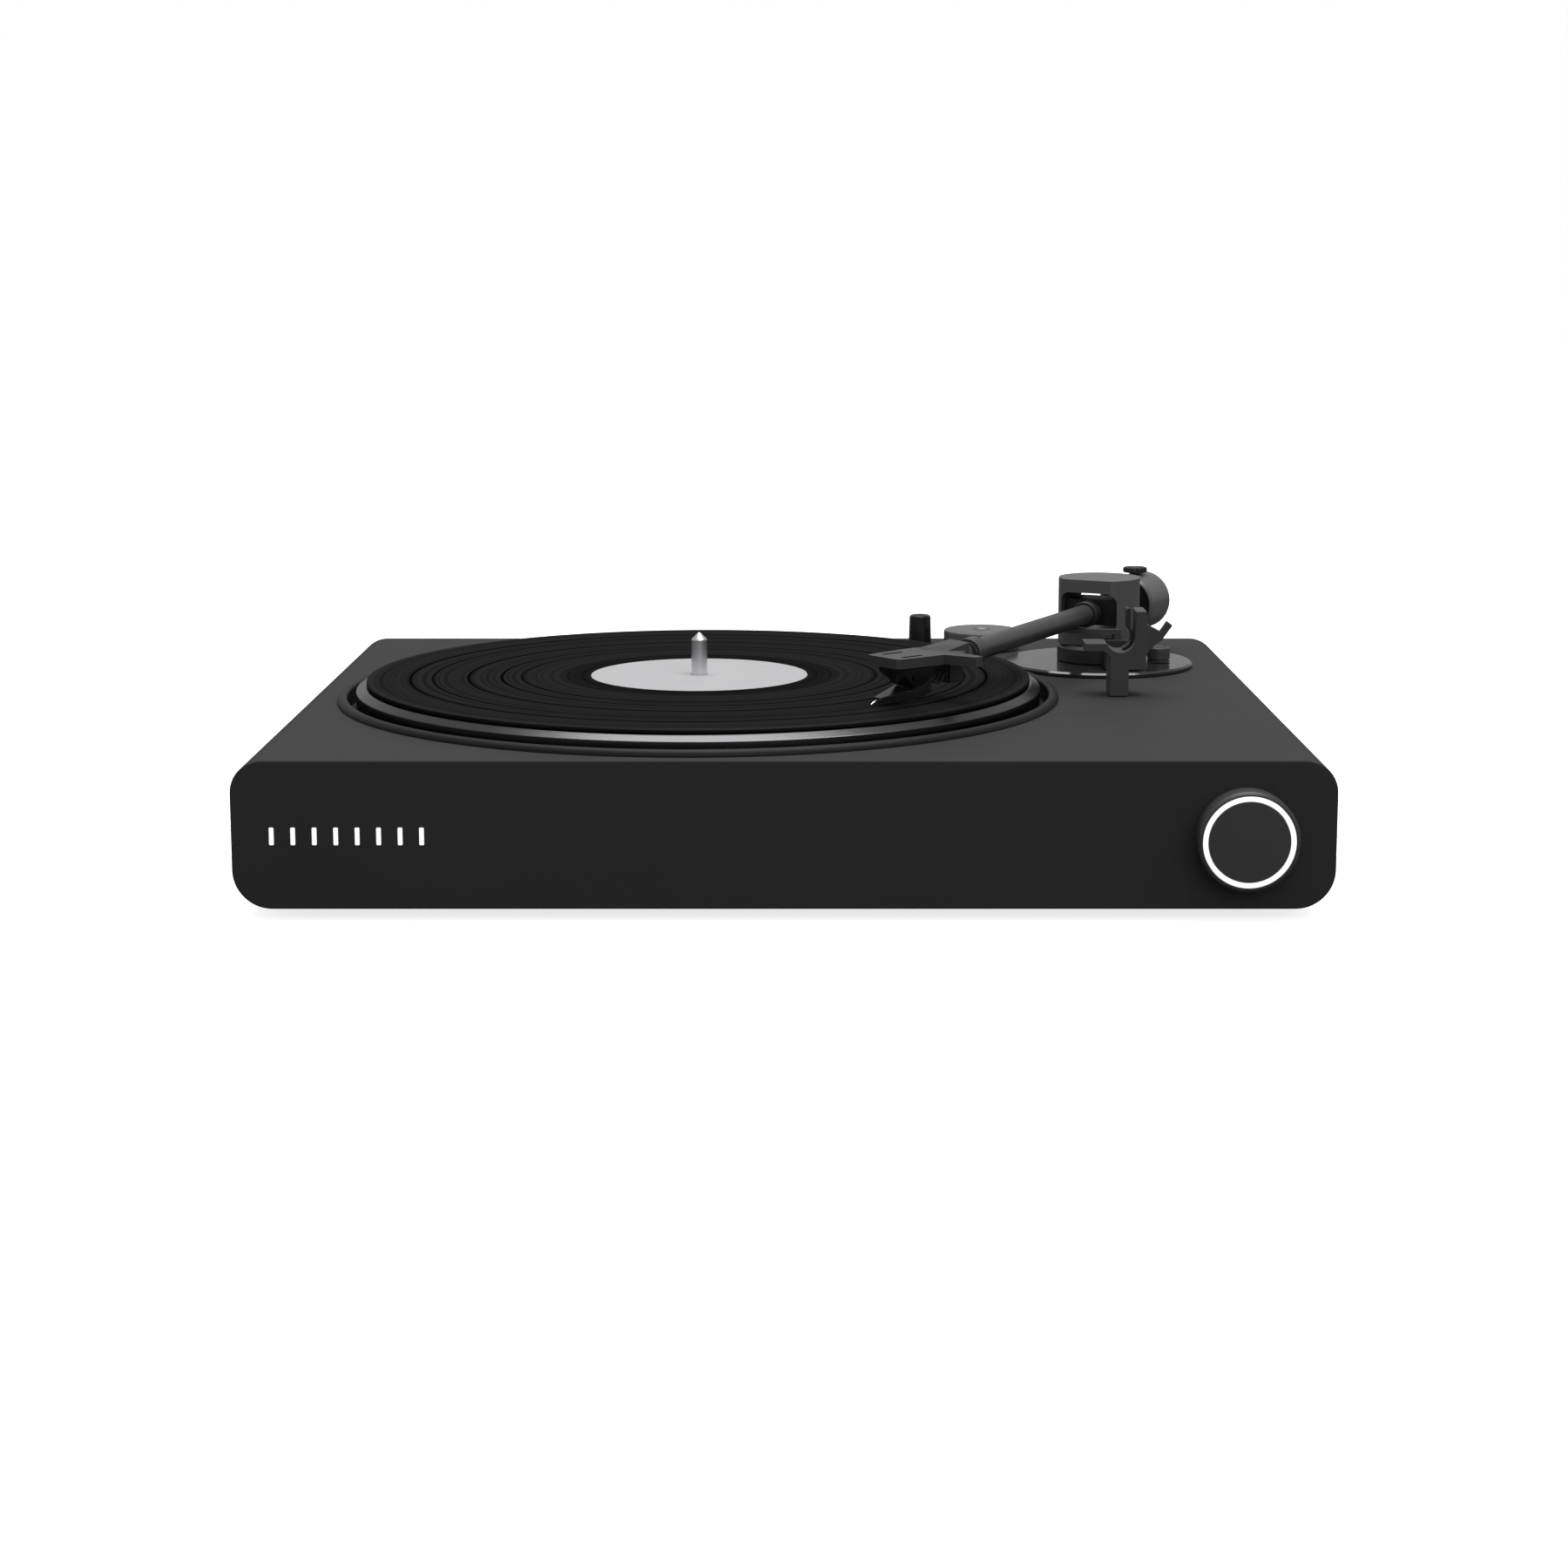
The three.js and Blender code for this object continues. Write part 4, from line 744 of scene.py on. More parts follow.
# ---- Pivot pins and bearing block -------------------------------------------------------
# Two steel pins with slotted ends pass through the yoke's cheeks into a moulded block, which
# holds the arm tube in front and the counterweight's stub behind.
pin_radius_out, pin_inner, pin_outer = 0.0024, 0.009, 0.0192
for side, sign in (("left", -1), ("right", 1)):
    turn_out = Matrix.Rotation(math.radians(90 * sign), 4, "Y")
    pivot_pin = turned_piece("slotted_pin_" + side, [(0.0007, pin_inner),
                             (pin_radius_out, pin_inner + 0.0017),
                             (pin_radius_out, pin_outer - 0.0003), (pin_radius_out - 0.0003, pin_outer)],
                             None, 48)
    carve(pivot_pin, block("driver_slot", (-0.00035, -0.003, pin_outer - 0.0007), (0.00035, 0.003, 0.03)))
    settle(pivot_pin, arm_space @ turn_out)
    finish_piece(pivot_pin, motor_steel, "pivot_pin_" + side, "arm_housing")
half_width, half_length, half_height = 0.0135, 0.009, 0.0062
tube_radius, stub_radius = 0.00485, 0.0042
along_arm = Matrix.Rotation(math.radians(90), 4, "X")
cradle_block = block("moulded_bearing_block", (-half_width, -half_length, -half_height),
                     (half_width, half_length, half_height))
bevel_edges(cradle_block, 0.0022, 5, lambda a, b: abs(a.x - b.x) < 1e-6 and abs(a.z - b.z) < 1e-6)
carve(cradle_block, rod("tube_bore", tube_radius + gap, 0.0, 0.03, along_arm, 48))
carve(cradle_block, rod("stub_bore", stub_radius + gap, -0.03, 0.001, along_arm, 48))
for side in (-1, 1):
    carve(cradle_block, rod("pin_bore", pin_radius_out + gap, side * 0.018 - 0.0104, side * 0.018 + 0.0104,
                            across, 40))
round_edges(cradle_block, 0.0003, 2, 40)
settle(cradle_block, arm_space)
arm_plastic = satin_black("arm_plastic", 0.014, 0.4, 0.2, 0.0005, gloss=0.35)
finish_piece(cradle_block, arm_plastic, "bearing_block", "tonearm")

# ---- Arm tube and its collars -----------------------------------------------------------
# A straight drawn aluminium tube, anodised dark, with a turned collar where it enters the
# block and a grooved locking ring where it takes the headshell.
bend, head_gap, in_block = 0.1647, 0.0026, 0.004
tube_end = bend - head_gap
tube = turned_piece("drawn_tube", [(tube_radius - 0.0006, in_block), (tube_radius, in_block + 0.0002),
                    (tube_radius, tube_end - 0.0003), (tube_radius - 0.0003, tube_end)], None, 64)
settle(tube, arm_space @ along_arm)
tube_black = satin_black("tube_black", 0.06, 0.36, 0.06, 0.0004, gloss=0.4, metal=0.4)
finish_piece(tube, tube_black, "arm_tube", "tonearm")


def grooved_ring(name, inner, outer, start, end, place, sides=96):
    """A turned ring with broken edges and two shallow grooves near its ends."""
    groove, chamfer = 0.00018, 0.0003
    profile = [(inner, start), (outer - chamfer, start), (outer, start + chamfer)]
    for line in (start + 0.0011, end - 0.0015):
        profile += [(outer, line), (outer - groove, line + 0.0001), (outer - groove, line + 0.0003),
                    (outer, line + 0.0004)]
    profile += [(outer, end - chamfer), (outer - chamfer, end), (inner, end), (inner, start)]
    return turned_piece(name, profile, place, sides)


collar_radius, collar_start, collar_length = 0.0063, 0.013, 0.007
collar = grooved_ring("turned_collar", tube_radius + gap, collar_radius, collar_start,
                      collar_start + collar_length, arm_space @ along_arm)
finish_piece(collar, pedestal_black, "arm_collar", "tonearm")
ring_length, ring_sides = 0.0084, 160
lock_ring = grooved_ring("locking_ring", tube_radius + gap, collar_radius, tube_end - ring_length,
                         tube_end, None, ring_sides)
settle(lock_ring, arm_space @ along_arm)
finish_piece(lock_ring, tube_black, "headshell_collar", "headshell_lock")

# ---- Counterweight ----------------------------------------------------------------------
# A heavy turned drum slides on the steel stub behind the block, and a thumbscrew on top
# clamps it. Its front face is turned hollow, and the floor of the hollow is painted near
# black as painted shade, so it reads as a black disc in a bright rim.
stub_end, weight_radius, weight_start, weight_length, weight_drop = 0.057, 0.0143, 0.037, 0.027, 0.0015
stub = turned_piece("steel_stub", [(stub_radius - 0.0004, -stub_end), (stub_radius, -stub_end + 0.0004),
                    (stub_radius, -in_block - 0.0002), (stub_radius - 0.0002, -in_block)], None, 48)
settle(stub, arm_space @ along_arm)
finish_piece(stub, motor_steel, "rear_stub", "tonearm")
weight_back, front_rim, front_hollow = weight_start + weight_length, 0.0127, 0.0012
drum = turned_piece("turned_counterweight", [(0.004, -weight_back), (weight_radius - 0.001, -weight_back),
                    (weight_radius - 0.0002, -weight_back + 0.0008), (weight_radius, -weight_back + 0.0011),
                    (weight_radius, -weight_start - 0.0011), (weight_radius - 0.0002, -weight_start - 0.0008),
                    (weight_radius - 0.001, -weight_start), (front_rim, -weight_start),
                    (front_rim - 0.0002, -weight_start - front_hollow),
                    (0.004, -weight_start - front_hollow)],
                    None, 128)
settle(drum, at(0, 0, -weight_drop) @ along_arm)
carve(drum, rod("drum_bore", stub_radius + 0.00035, -0.08, -0.03, along_arm, 48))
screw_y = weight_start + weight_length / 2
carve(drum, rod("screw_bore", 0.0026, 0.001, 0.03, at(0, screw_y), 40))
crisp(drum, 35)
settle(drum, arm_space)
weight_coat = satin_black("weight_coat", 0.11, 0.36, 0.1, 0.0004, gloss=0.35, metal=0.3)
# A near-black coat that stands in for shade in hollows and slots: painted shade.
painted_shade_black = satin_black("painted_shade_black", 0.006, 0.7, 0.1, 0.0005, gloss=0.15)
wear_coat(drum, weight_coat)
drum.data.materials.append(painted_shade_black)
to_arm = arm_space.inverted()
# The front-facing faces inside the rim, the hollow's floor, take the painted shade.
for face in drum.data.polygons:
    in_arm = to_arm @ face.center
    facing = (to_arm.to_3x3() @ face.normal).y
    from_axis = math.hypot(in_arm.x, in_arm.z + weight_drop)
    if facing < -0.5 and from_axis < front_rim - 0.0003:
        face.material_index = 1
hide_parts("counterweight")
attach(drum, "counterweight")
neck_low = weight_radius - weight_drop + gap
cap_low, cap_high, cap_radius, neck_radius = neck_low + 0.0004, neck_low + 0.0029, 0.006, 0.0038
cap_sides = 48
thumbscrew = turned_piece("thumbscrew_cap", [(0.002, stub_radius + gap), (0.0023, stub_radius + gap + 0.0003),
                          (0.0023, neck_low), (neck_radius, neck_low), (neck_radius, cap_low),
                          (cap_radius - 0.0003, cap_low), (cap_radius, cap_low + 0.0003),
                          (cap_radius, cap_high - 0.0005), (cap_radius - 0.0002, cap_high - 0.0001),
                          (cap_radius - 0.0006, cap_high), (cap_radius - 0.0013, cap_high),
                          (cap_radius - 0.0016, cap_high - 0.0004)], None, cap_sides)
for notch in range(12):
    turn = Matrix.Rotation(math.radians(30 * notch), 4, "Z")
    carve(thumbscrew, rod("grip_notch", 0.0006, cap_low - 0.001, cap_high + 0.001,
                          turn @ at(cap_radius + 0.0002, 0), 16))
crisp(thumbscrew, 35)
settle(thumbscrew, arm_space @ at(0, screw_y))
finish_piece(thumbscrew, arm_plastic, "counterweight_thumbscrew", "weight_screw")

# ---- Headshell --------------------------------------------------------------------------
# A moulded plate, turned inwards at the tube's end. It has a finger lift on its right, two
# slots for the cartridge screws, and a ramp that climbs to the round neck in the lock ring.


def plate_outline(name, corners, low, high):
    """A closed plate with any outline, drawn in XY anticlockwise, from one height to another."""
    bpy.ops.object.select_all(action="DESELECT")
    bpy.ops.mesh.primitive_circle_add(vertices=len(corners), fill_type="NGON", radius=0.01)
    piece = bpy.context.object
    piece.name = name
    bpy.ops.object.mode_set(mode="EDIT")
    sheet = bmesh.from_edit_mesh(piece.data)
    sheet.verts.ensure_lookup_table()
    for vert, (x, y) in zip(sheet.verts, corners):
        vert.co = (x, y, low)
    bmesh.update_edit_mesh(piece.data)
    bpy.ops.mesh.select_all(action="SELECT")
    bpy.ops.mesh.extrude_region_move(TRANSFORM_OT_translate={"value": (0, 0, high - low)})
    bpy.ops.mesh.select_all(action="SELECT")
    bpy.ops.mesh.normals_make_consistent(inside=False)
    bpy.ops.object.mode_set(mode="OBJECT")
    return piece


def arc(x, y, radius, start, end, steps):
    """Points along an arc, from one angle to another in degrees."""
    angles = [math.radians(start + (end - start) * step / steps) for step in range(steps + 1)]
    return [(x + radius * math.cos(a), y + radius * math.sin(a)) for a in angles]


def merge_into(piece, other):
    """Joins another closed piece on with a Boolean modifier."""
    only_select(piece)
    union = piece.modifiers.new("merge", "BOOLEAN")
    union.operation = "UNION"
    union.solver = "EXACT"
    union.object = other
    bpy.ops.object.modifier_apply(modifier=union.name)
    bpy.data.objects.remove(other, do_unlink=True)


head_turn = 23.5
head_space = arm_space @ at(0, -bend) @ Matrix.Rotation(math.radians(-head_turn), 4, "Z")
shell_top, shell_bottom = 0.0028, -0.0014
shell_outline = [(-0.0103, -0.0465), (-0.0088, -0.0480), (0.0088, -0.0480), (0.0103, -0.0465),
                 (0.0115, -0.0228), (0.0264, -0.0180), (0.0256, -0.0136), (0.0126, -0.0129),
                 (0.0062, -0.0040), (-0.0050, -0.0040), (-0.0066, -0.0120), (-0.0128, -0.0177),
                 (-0.0129, -0.0230)]
shell = plate_outline("moulded_headshell", shell_outline, shell_bottom, shell_top)
ramp_rise, ramp_foot = 0.0034, 0.0004
ramp = plate_outline("ramp", [(-0.0098, -0.0200), (0.0039, -0.0142), (0.0084, -0.0052), (-0.0052, -0.0040)],
                     shell_top - 0.002, shell_top + ramp_foot)
for vert in ramp.data.vertices:
    if vert.co.z > shell_top:
        high_end = vert.co.y > -0.0100
        vert.co.z = shell_top + (ramp_rise if high_end else -0.00002)
merge_into(shell, ramp)
round_edges(shell, 0.0004, 2, 26)
slot_pitch, slot_width, slot_front, slot_back = 0.0127, 0.0023, -0.0430, -0.0310
for side in (-1, 1):
    slot_x = side * slot_pitch / 2
    ends = arc(slot_x, slot_back - slot_width / 2, slot_width / 2, 0, 180, 8) + arc(
        slot_x, slot_front + slot_width / 2, slot_width / 2, 180, 360, 8)
    carve(shell, plate_outline("slot_cut", ends, -0.01, 0.01))
neck_radius_head = 0.0053
neck = turned_piece("neck", [(neck_radius_head - 0.0005, -0.0002), (neck_radius_head, 0.0004),
                    (neck_radius_head, 0.0085), (neck_radius_head - 0.0006, 0.0092)], None, 64)
settle(neck, along_arm)
merge_into(shell, neck)
crisp(shell, 30)
settle(shell, head_space)
shell_black = satin_black("shell_black", 0.045, 0.4, 0.15, 0.00035, gloss=0.35, metal=0.2)
wear_coat(shell, shell_black)
# The upright walls of the screw slots take the near-black painted shade.
shell.data.materials.append(painted_shade_black)
to_head = head_space.inverted()
for face in shell.data.polygons:
    in_head = to_head @ face.center
    upright = abs((to_head.to_3x3() @ face.normal).z) < 0.1
    in_slot = abs(abs(in_head.x) - slot_pitch / 2) < slot_width * 0.6 and slot_front < in_head.y < slot_back
    if upright and in_slot:
        face.material_index = 1
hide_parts("headshell")
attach(shell, "tonearm")

# ---- Cartridge screws and terminal block ------------------------------------------------
# Two small black screws, sunk in the stepped slots, hold the cartridge. The block under the
# shell carries the four pins of the signal leads behind the cartridge.
screw_head, screw_shank, screw_rise, screw_length = 0.001, 0.00085, 0.0014, 0.0047
head_seat = shell_top - 0.00205
for side, sign in (("left", -1), ("right", 1)):
    machine_screw = turned_piece("machine_screw_" + side, [
        (screw_shank - 0.0002, head_seat - screw_length), (screw_shank, head_seat - screw_length + 0.0002),
        (screw_shank, head_seat), (screw_head, head_seat), (screw_head, head_seat + screw_rise * 0.7),
        (screw_head * 0.88, head_seat + screw_rise * 0.92), (screw_head * 0.7, head_seat + screw_rise)],
        None, 40)
    carve(machine_screw, block("driver_slot", (-0.003, -0.00025, head_seat + screw_rise * 0.5),
                               (0.003, 0.00025, 0.02)))
    settle(machine_screw, head_space @ at(sign * slot_pitch / 2, slot_back - 0.006))
    finish_piece(machine_screw, arm_plastic, "cartridge_screw_" + side, "tonearm")
terminal_x, terminal_y = 0.003, -0.013
terminal_top = shell_bottom - gap
terminal = block("terminal_moulding", (terminal_x - 0.006, terminal_y - 0.004, terminal_top - 0.0088),
                 (terminal_x + 0.006, terminal_y + 0.004, terminal_top))
carve(terminal, block("terminal_notch", (terminal_x + 0.0042, terminal_y - 0.006, terminal_top - 0.0078),
                      (terminal_x + 0.0050, terminal_y + 0.006, terminal_top - 0.0008)))
round_edges(terminal, 0.0003, 2)
settle(terminal, head_space)
finish_piece(terminal, arm_plastic, "terminal_block", "tonearm")

# ---- Cartridge and stylus ---------------------------------------------------------------
# A moving-magnet cartridge in glossy black plastic: a wedge body under the headshell and a
# slip-on stylus holder that points forwards and down to a fine metal cantilever.
nose_up = Matrix(((0, 0, -1, 0), (-1, 0, 0, 0), (0, 1, 0, 0), (0, 0, 0, 1)))
body_top, body_joint, body_front, body_back, body_width = -0.0017, -0.011, 0.043, 0.025, 0.016
body = plate_outline("cartridge_body", [(body_back, body_joint + 0.004), (body_front - 0.008, body_joint),
                     (body_front - 0.0005, body_top - 0.0030), (body_front, body_top - 0.0022),
                     (body_front, body_top), (body_back, body_top)], -body_width / 2, body_width / 2)
settle(body, nose_up)
taper = 0.8
for vert in body.data.vertices:
    if vert.co.z < body_top - 0.004:
        vert.co.x *= taper
for side in (-1, 1):
    screw_place = at(side * slot_pitch / 2, slot_back - 0.006)
    carve(body, rod("screw_bore", screw_shank + gap, -0.008, 0.0, screw_place, 24))
    carve(body, block("side_channel", (side * body_width / 2 - 0.0006, -body_front + 0.004,
                      body_top - 0.0016),
                      (side * body_width / 2 + 0.0006, -body_back + 0.001, body_top - 0.0010)))
round_edges(body, 0.0003, 2, 25)
settle(body, head_space)
cartridge_gloss = satin_black("cartridge_gloss", 0.008, 0.22, 0.04, 0.0006, gloss=0.5)
finish_piece(body, cartridge_gloss, "cartridge", "tonearm")
tip_z = record_high[2] + 0.0003 - pivot_z
nose, nose_z, nose_height = 0.051, tip_z + 0.001, 0.0022
holder_top, holder_back, holder_half = body_joint - gap, 0.026, 0.007
holder = plate_outline("stylus_guard", [(holder_back, holder_top - 0.002),
                       (holder_back + 0.008, nose_z + 0.0004),
                       (holder_back + 0.010, nose_z), (nose - 0.0008, nose_z), (nose, nose_z + 0.0006),
                       (nose, nose_z + nose_height), (body_front - 0.008, holder_top),
                       (holder_back, holder_top + 0.0035)], -holder_half, holder_half)
settle(holder, nose_up)
for vert in holder.data.vertices:
    ahead = -vert.co.y - 0.039
    if ahead > 0:
        vert.co.x *= 1 - 0.7 * min(1, ahead / (nose - 0.039))
round_edges(holder, 0.0003, 2, 25)
settle(holder, head_space)
guard_plastic = satin_black("guard_plastic", 0.012, 0.18, 0.05, 0.0006, gloss=0.5)
finish_piece(holder, guard_plastic, "stylus_holder", "tonearm")
needle_start = Vector((0, -nose - gap, nose_z + 0.001))
needle_tip = Vector((0, -0.0546, tip_z + 0.0004))
needle_line = needle_tip - needle_start
needle = turned_piece("needle", [(0.00035, 0), (0.0004, 0.0001), (0.0004, needle_line.length * 0.7),
                      (0.00028, needle_line.length)], None, 24)
needle_turn = needle_line.to_track_quat("Z", "Y").to_matrix().to_4x4()
settle(needle, head_space @ Matrix.Translation(needle_start) @ needle_turn)
finish_piece(needle, spindle_steel, "cantilever", "tonearm")

# ---- Cartridge leads --------------------------------------------------------------------
# Four hair-thin insulated wires sag from the terminal block's comb to the cartridge. Each
# ends in a sleeve and a cream tip pushed on to a cartridge pin.
lead_radius, lead_pitch, lead_sag = 0.00045, 0.0026, 0.0042
comb_y, pins_y = terminal_y - 0.0048, -body_back + 0.0006
comb_z, pins_z = terminal_top - 0.0044, body_top - 0.002
lead_coat = satin_black("lead_coat", 0.02, 0.5, 0.05, 0.0004)
cream_tip = satin_black("cream_tip", 0.6, 0.5, 0.05, 0.0004)
cream_tip.node_tree.nodes["Mix"].inputs["A"].default_value = (0.62, 0.56, 0.36, 1)
cream_tip.node_tree.nodes["Mix"].inputs["B"].default_value = (0.75, 0.70, 0.48, 1)
lead_parts = []
for number in range(4):
    spread = (number - 1.5) * lead_pitch
    route = bpy.data.curves.new("lead_route", "CURVE")
    route.dimensions = "3D"
    route.bevel_depth = lead_radius
    route.bevel_resolution = 3
    route.resolution_u = 10
    route.use_fill_caps = True
    wire = route.splines.new("BEZIER")
    wire.bezier_points.add(2)
    way = [Vector((terminal_x + spread, comb_y, comb_z)),
           Vector((terminal_x * 0.5 + spread, (comb_y + pins_y) / 2, comb_z - lead_sag)),
           Vector((spread, pins_y, pins_z))]
    for knot, point in zip(wire.bezier_points, way):
        knot.co = point
        knot.handle_left_type = knot.handle_right_type = "AUTO"
    lead = bpy.data.objects.new("lead", route)
    scene.collection.objects.link(lead)
    only_select(lead)
    bpy.ops.object.convert(target="MESH")
    lead = bpy.context.object
    bpy.ops.object.mode_set(mode="EDIT")
    bpy.ops.mesh.select_all(action="SELECT")
    bpy.ops.mesh.remove_doubles(threshold=1e-6)
    bpy.ops.mesh.normals_make_consistent(inside=False)
    bpy.ops.object.mode_set(mode="OBJECT")
    wear_coat(lead, lead_coat)
    lead_parts.append(lead)
    tip_end = turned_piece("lead_tip", [(0.0005, 0), (0.0008, 0.0002), (0.0008, 0.0014),
                           (0.0005, 0.0016)], None, 20)
    settle(tip_end, Matrix.Translation(way[2] + Vector((0, 0.0016, -0.0004))) @ along_arm)
    wear_coat(tip_end, cream_tip)
    lead_parts.append(tip_end)
comb_half = 1.5 * lead_pitch + 2 * lead_radius
comb = block("lead_comb", (terminal_x - comb_half, comb_y - 0.0005, comb_z - 2 * lead_radius),
             (terminal_x + comb_half, comb_y + 0.0005, comb_z + 2 * lead_radius))
round_edges(comb, 0.0002, 2)
wear_coat(comb, arm_plastic)
lead_parts.append(comb)
bpy.ops.object.select_all(action="DESELECT")
for part in lead_parts:
    part.select_set(True)
bpy.context.view_layer.objects.active = comb
bpy.ops.object.join()
comb.name = "signal_leads"
settle(comb, head_space)
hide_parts("cartridge_leads")
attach(comb, "tonearm")

# ---- Arm rest and its clip --------------------------------------------------------------
# A moulded fork stands on the deck straight in front of the pivot. Its horn and tall cheek
# form a cradle for the parked tube, and a thin sprung clip closes over it.


def front_outline(name, corners, front, back):
    """A plate drawn in front view, as (across, height), between two depths behind the front face."""
    piece = plate_outline(name, corners, -back, -front)
    settle(piece, at(0, front_y, deck_z) @ facing_forward)
    return piece


tube_height = pivot_z - deck_z
rest_front, rest_depth, rest_top, step_z = 0.1616, 0.016, 0.0392, 0.0123
post_left, post_right, cheek_right, cheek_wall = pivot_x - 0.0047, pivot_x + 0.0039, pivot_x + 0.0117, 0.0041
cradle_radius, horn_left, horn_top, horn_bottom = 0.0066, pivot_x - 0.0161, 0.0245, 0.0209
dip = math.degrees(math.asin((tube_height - horn_top) / cradle_radius))
fork = [(post_left, gap), (post_right, gap), (post_right, step_z), (cheek_right, step_z),
        (cheek_right, rest_top),
        (cheek_right - cheek_wall, rest_top), (cheek_right - cheek_wall - 0.0006, rest_top - 0.0004)]
fork += arc(pivot_x, tube_height, cradle_radius, 0, dip - 180, 20)
fork += [(pivot_x - 0.0080, horn_top), (horn_left, horn_top), (horn_left, horn_bottom)]
fork += arc(post_left - 0.004, horn_bottom - 0.004, 0.004, 90, 0, 8)
arm_rest = front_outline("moulded_arm_rest", fork, rest_front, rest_front + rest_depth)
round_edges(arm_rest, 0.0004, 2, 30)
rest_plastic = satin_black("rest_plastic", 0.045, 0.42, 0.2, 0.0004, gloss=0.3)
finish_piece(arm_rest, rest_plastic, "arm_rest", "root")
clip_inner, clip_outer, clip_length, clip_tab = 0.0053, 0.0062, 0.006, 0.013
clip_low, clip_high = -75, 38
tab_x = pivot_x + clip_outer * math.cos(math.radians(clip_high))
clip_outline = arc(pivot_x, tube_height, clip_outer, clip_low, clip_high, 24)
clip_outline += [(tab_x, tube_height + clip_tab - 0.0006), (tab_x - 0.0005, tube_height + clip_tab),
                 (tab_x - 0.0013, tube_height + clip_tab), (tab_x - 0.0018, tube_height + clip_tab - 0.0006),
                 (tab_x - 0.0018, tube_height + clip_outer)]
clip_outline += arc(pivot_x, tube_height, clip_inner, clip_high + 14, clip_low, 24)
clip_front = rest_front + (rest_depth - clip_length) / 2
spring_clip = front_outline("sprung_clip", clip_outline, clip_front, clip_front + clip_length)
round_edges(spring_clip, 0.00018, 2, 30)
finish_piece(spring_clip, arm_plastic, "rest_clip", "rest_clip")

# ---- Arm lift, its tower and the cue lever ----------------------------------------------
# A damped stem rises from a small tower and lifts the arm by a curved bar under the tube. A
# flat lever in front of the tower, shaped like a fan with a slanting handle, works it.
bar_low, bar_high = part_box("lift_platform")
bar_radius, bar_half, bar_thickness, bar_from, bar_to = 0.0295, 0.002, 0.0022, -14, 36.5
bar_top = bar_high[2] - deck_z
bar_plan = arc(pivot_x, pivot_y, bar_radius + bar_half, 270 - bar_to, 270 - bar_from, 32)
bar_plan += arc(pivot_x, pivot_y, bar_radius - bar_half, 270 - bar_from, 270 - bar_to, 32)
lift_bar = plate_outline("lift_bar", bar_plan, bar_top - bar_thickness, bar_top)
settle(lift_bar, at(0, 0, deck_z))
stem_turn = math.radians(bar_from + 3)
stem_x = pivot_x - bar_radius * math.sin(stem_turn)
stem_y = pivot_y - bar_radius * math.cos(stem_turn)
merge_into(lift_bar, rod("lift_stem", 0.0022, bar_low[2], bar_high[2] - 0.0004, at(stem_x, stem_y), 40))
round_edges(lift_bar, 0.00035, 3, 30)
finish_piece(lift_bar, rest_plastic, "lift_platform", "lift_platform")
tower_low, tower_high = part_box("lift_tower")
tower = block("moulded_tower", tower_low, tower_high)
bevel_edges(tower, 0.0014, 5, lambda a, b: abs(a.x - b.x) < 1e-6 and abs(a.y - b.y) < 1e-6)
carve(tower, rod("stem_bore", 0.00255, tower_low[2] - 0.001, tower_high[2] + 0.01, at(stem_x, stem_y), 40))
lever_x, lever_z, lever_back = stem_x + 0.007, 0.010, tower_low[1] - 0.00035
shaft_line = at(lever_x, lever_back, deck_z + lever_z) @ facing_forward
carve(tower, rod("lever_bore", 0.00235, -0.0074, 0.002, shaft_line, 32))
round_edges(tower, 0.0003, 2, 40)
finish_piece(tower, pedestal_black, "lift_tower", "root")
fan_hub, lever_thickness = 0.006, 0.003
fan = arc(lever_x, lever_z, fan_hub, 100, 320, 20)
fan += [(lever_x + 0.0077, lever_z + 0.0020), (lever_x + 0.0105, lever_z + 0.0053),
        (lever_x + 0.0135, lever_z + 0.0072), (lever_x + 0.0187, lever_z + 0.0145),
        (lever_x + 0.0159, lever_z + 0.0167), (lever_x + 0.0127, lever_z + 0.0119),
        (lever_x + 0.0045, lever_z + 0.0162)]
cue_lever = plate_outline("fan_lever", fan, 0, lever_thickness)
settle(cue_lever, at(0, lever_back, deck_z) @ facing_forward)
merge_into(cue_lever, rod("lever_shaft", 0.002, -0.006, 0.001, shaft_line, 32))
round_edges(cue_lever, 0.00035, 2, 30)
finish_piece(cue_lever, rest_plastic, "cue_lever", "cue_lever")

# ---- Deck controls ----------------------------------------------------------------------
# Turned and moulded pieces on the deck: the anti-skating dial with its dark groove, the large
# hole adapter on its peg, and the tapered speed selector with a dished top.
dial_low, dial_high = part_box("anti_skate_dial")
dial_radius = (dial_high[0] - dial_low[0]) / 2
dial_foot, dial_top, dial_groove = dial_low[2] - deck_z, dial_high[2] - deck_z, 0.0006
dial_x, dial_y, _ = middle_of("anti_skate_dial")
dial = turned_piece("anti_skating_dial", [(dial_radius - 0.0003, dial_foot),
                    (dial_radius, dial_foot + 0.0002),
                    (dial_radius, dial_foot + 0.0007), (dial_radius - dial_groove, dial_foot + 0.0008),
                    (dial_radius - dial_groove, dial_foot + 0.0015), (dial_radius, dial_foot + 0.0016),
                    (dial_radius, dial_top - 0.0008), (dial_radius - 0.0002, dial_top - 0.0003),
                    (dial_radius - 0.0007, dial_top), (dial_radius - 0.0014, dial_top),
                    (dial_radius - 0.0017, dial_top - 0.0003)], None, 96)
carve(dial, block("pointer_cut", (-0.0003, 0.0005, dial_top - 0.0007),
      (0.0003, dial_radius - 0.0019, dial_top)))
crisp(dial, 35)
settle(dial, at(dial_x, dial_y, deck_z))
finish_piece(dial, rest_plastic, "anti_skate_dial", "anti_skate_dial")
adapter_low, adapter_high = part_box("adapter_45")
adapter_radius = (adapter_high[0] - adapter_low[0]) / 2
adapter_foot, adapter_top = adapter_low[2] - deck_z, adapter_high[2] - deck_z
adapter_x, adapter_y, _ = middle_of("adapter_45")
adapter_hole, peg_radius = 0.00365, 0.0033
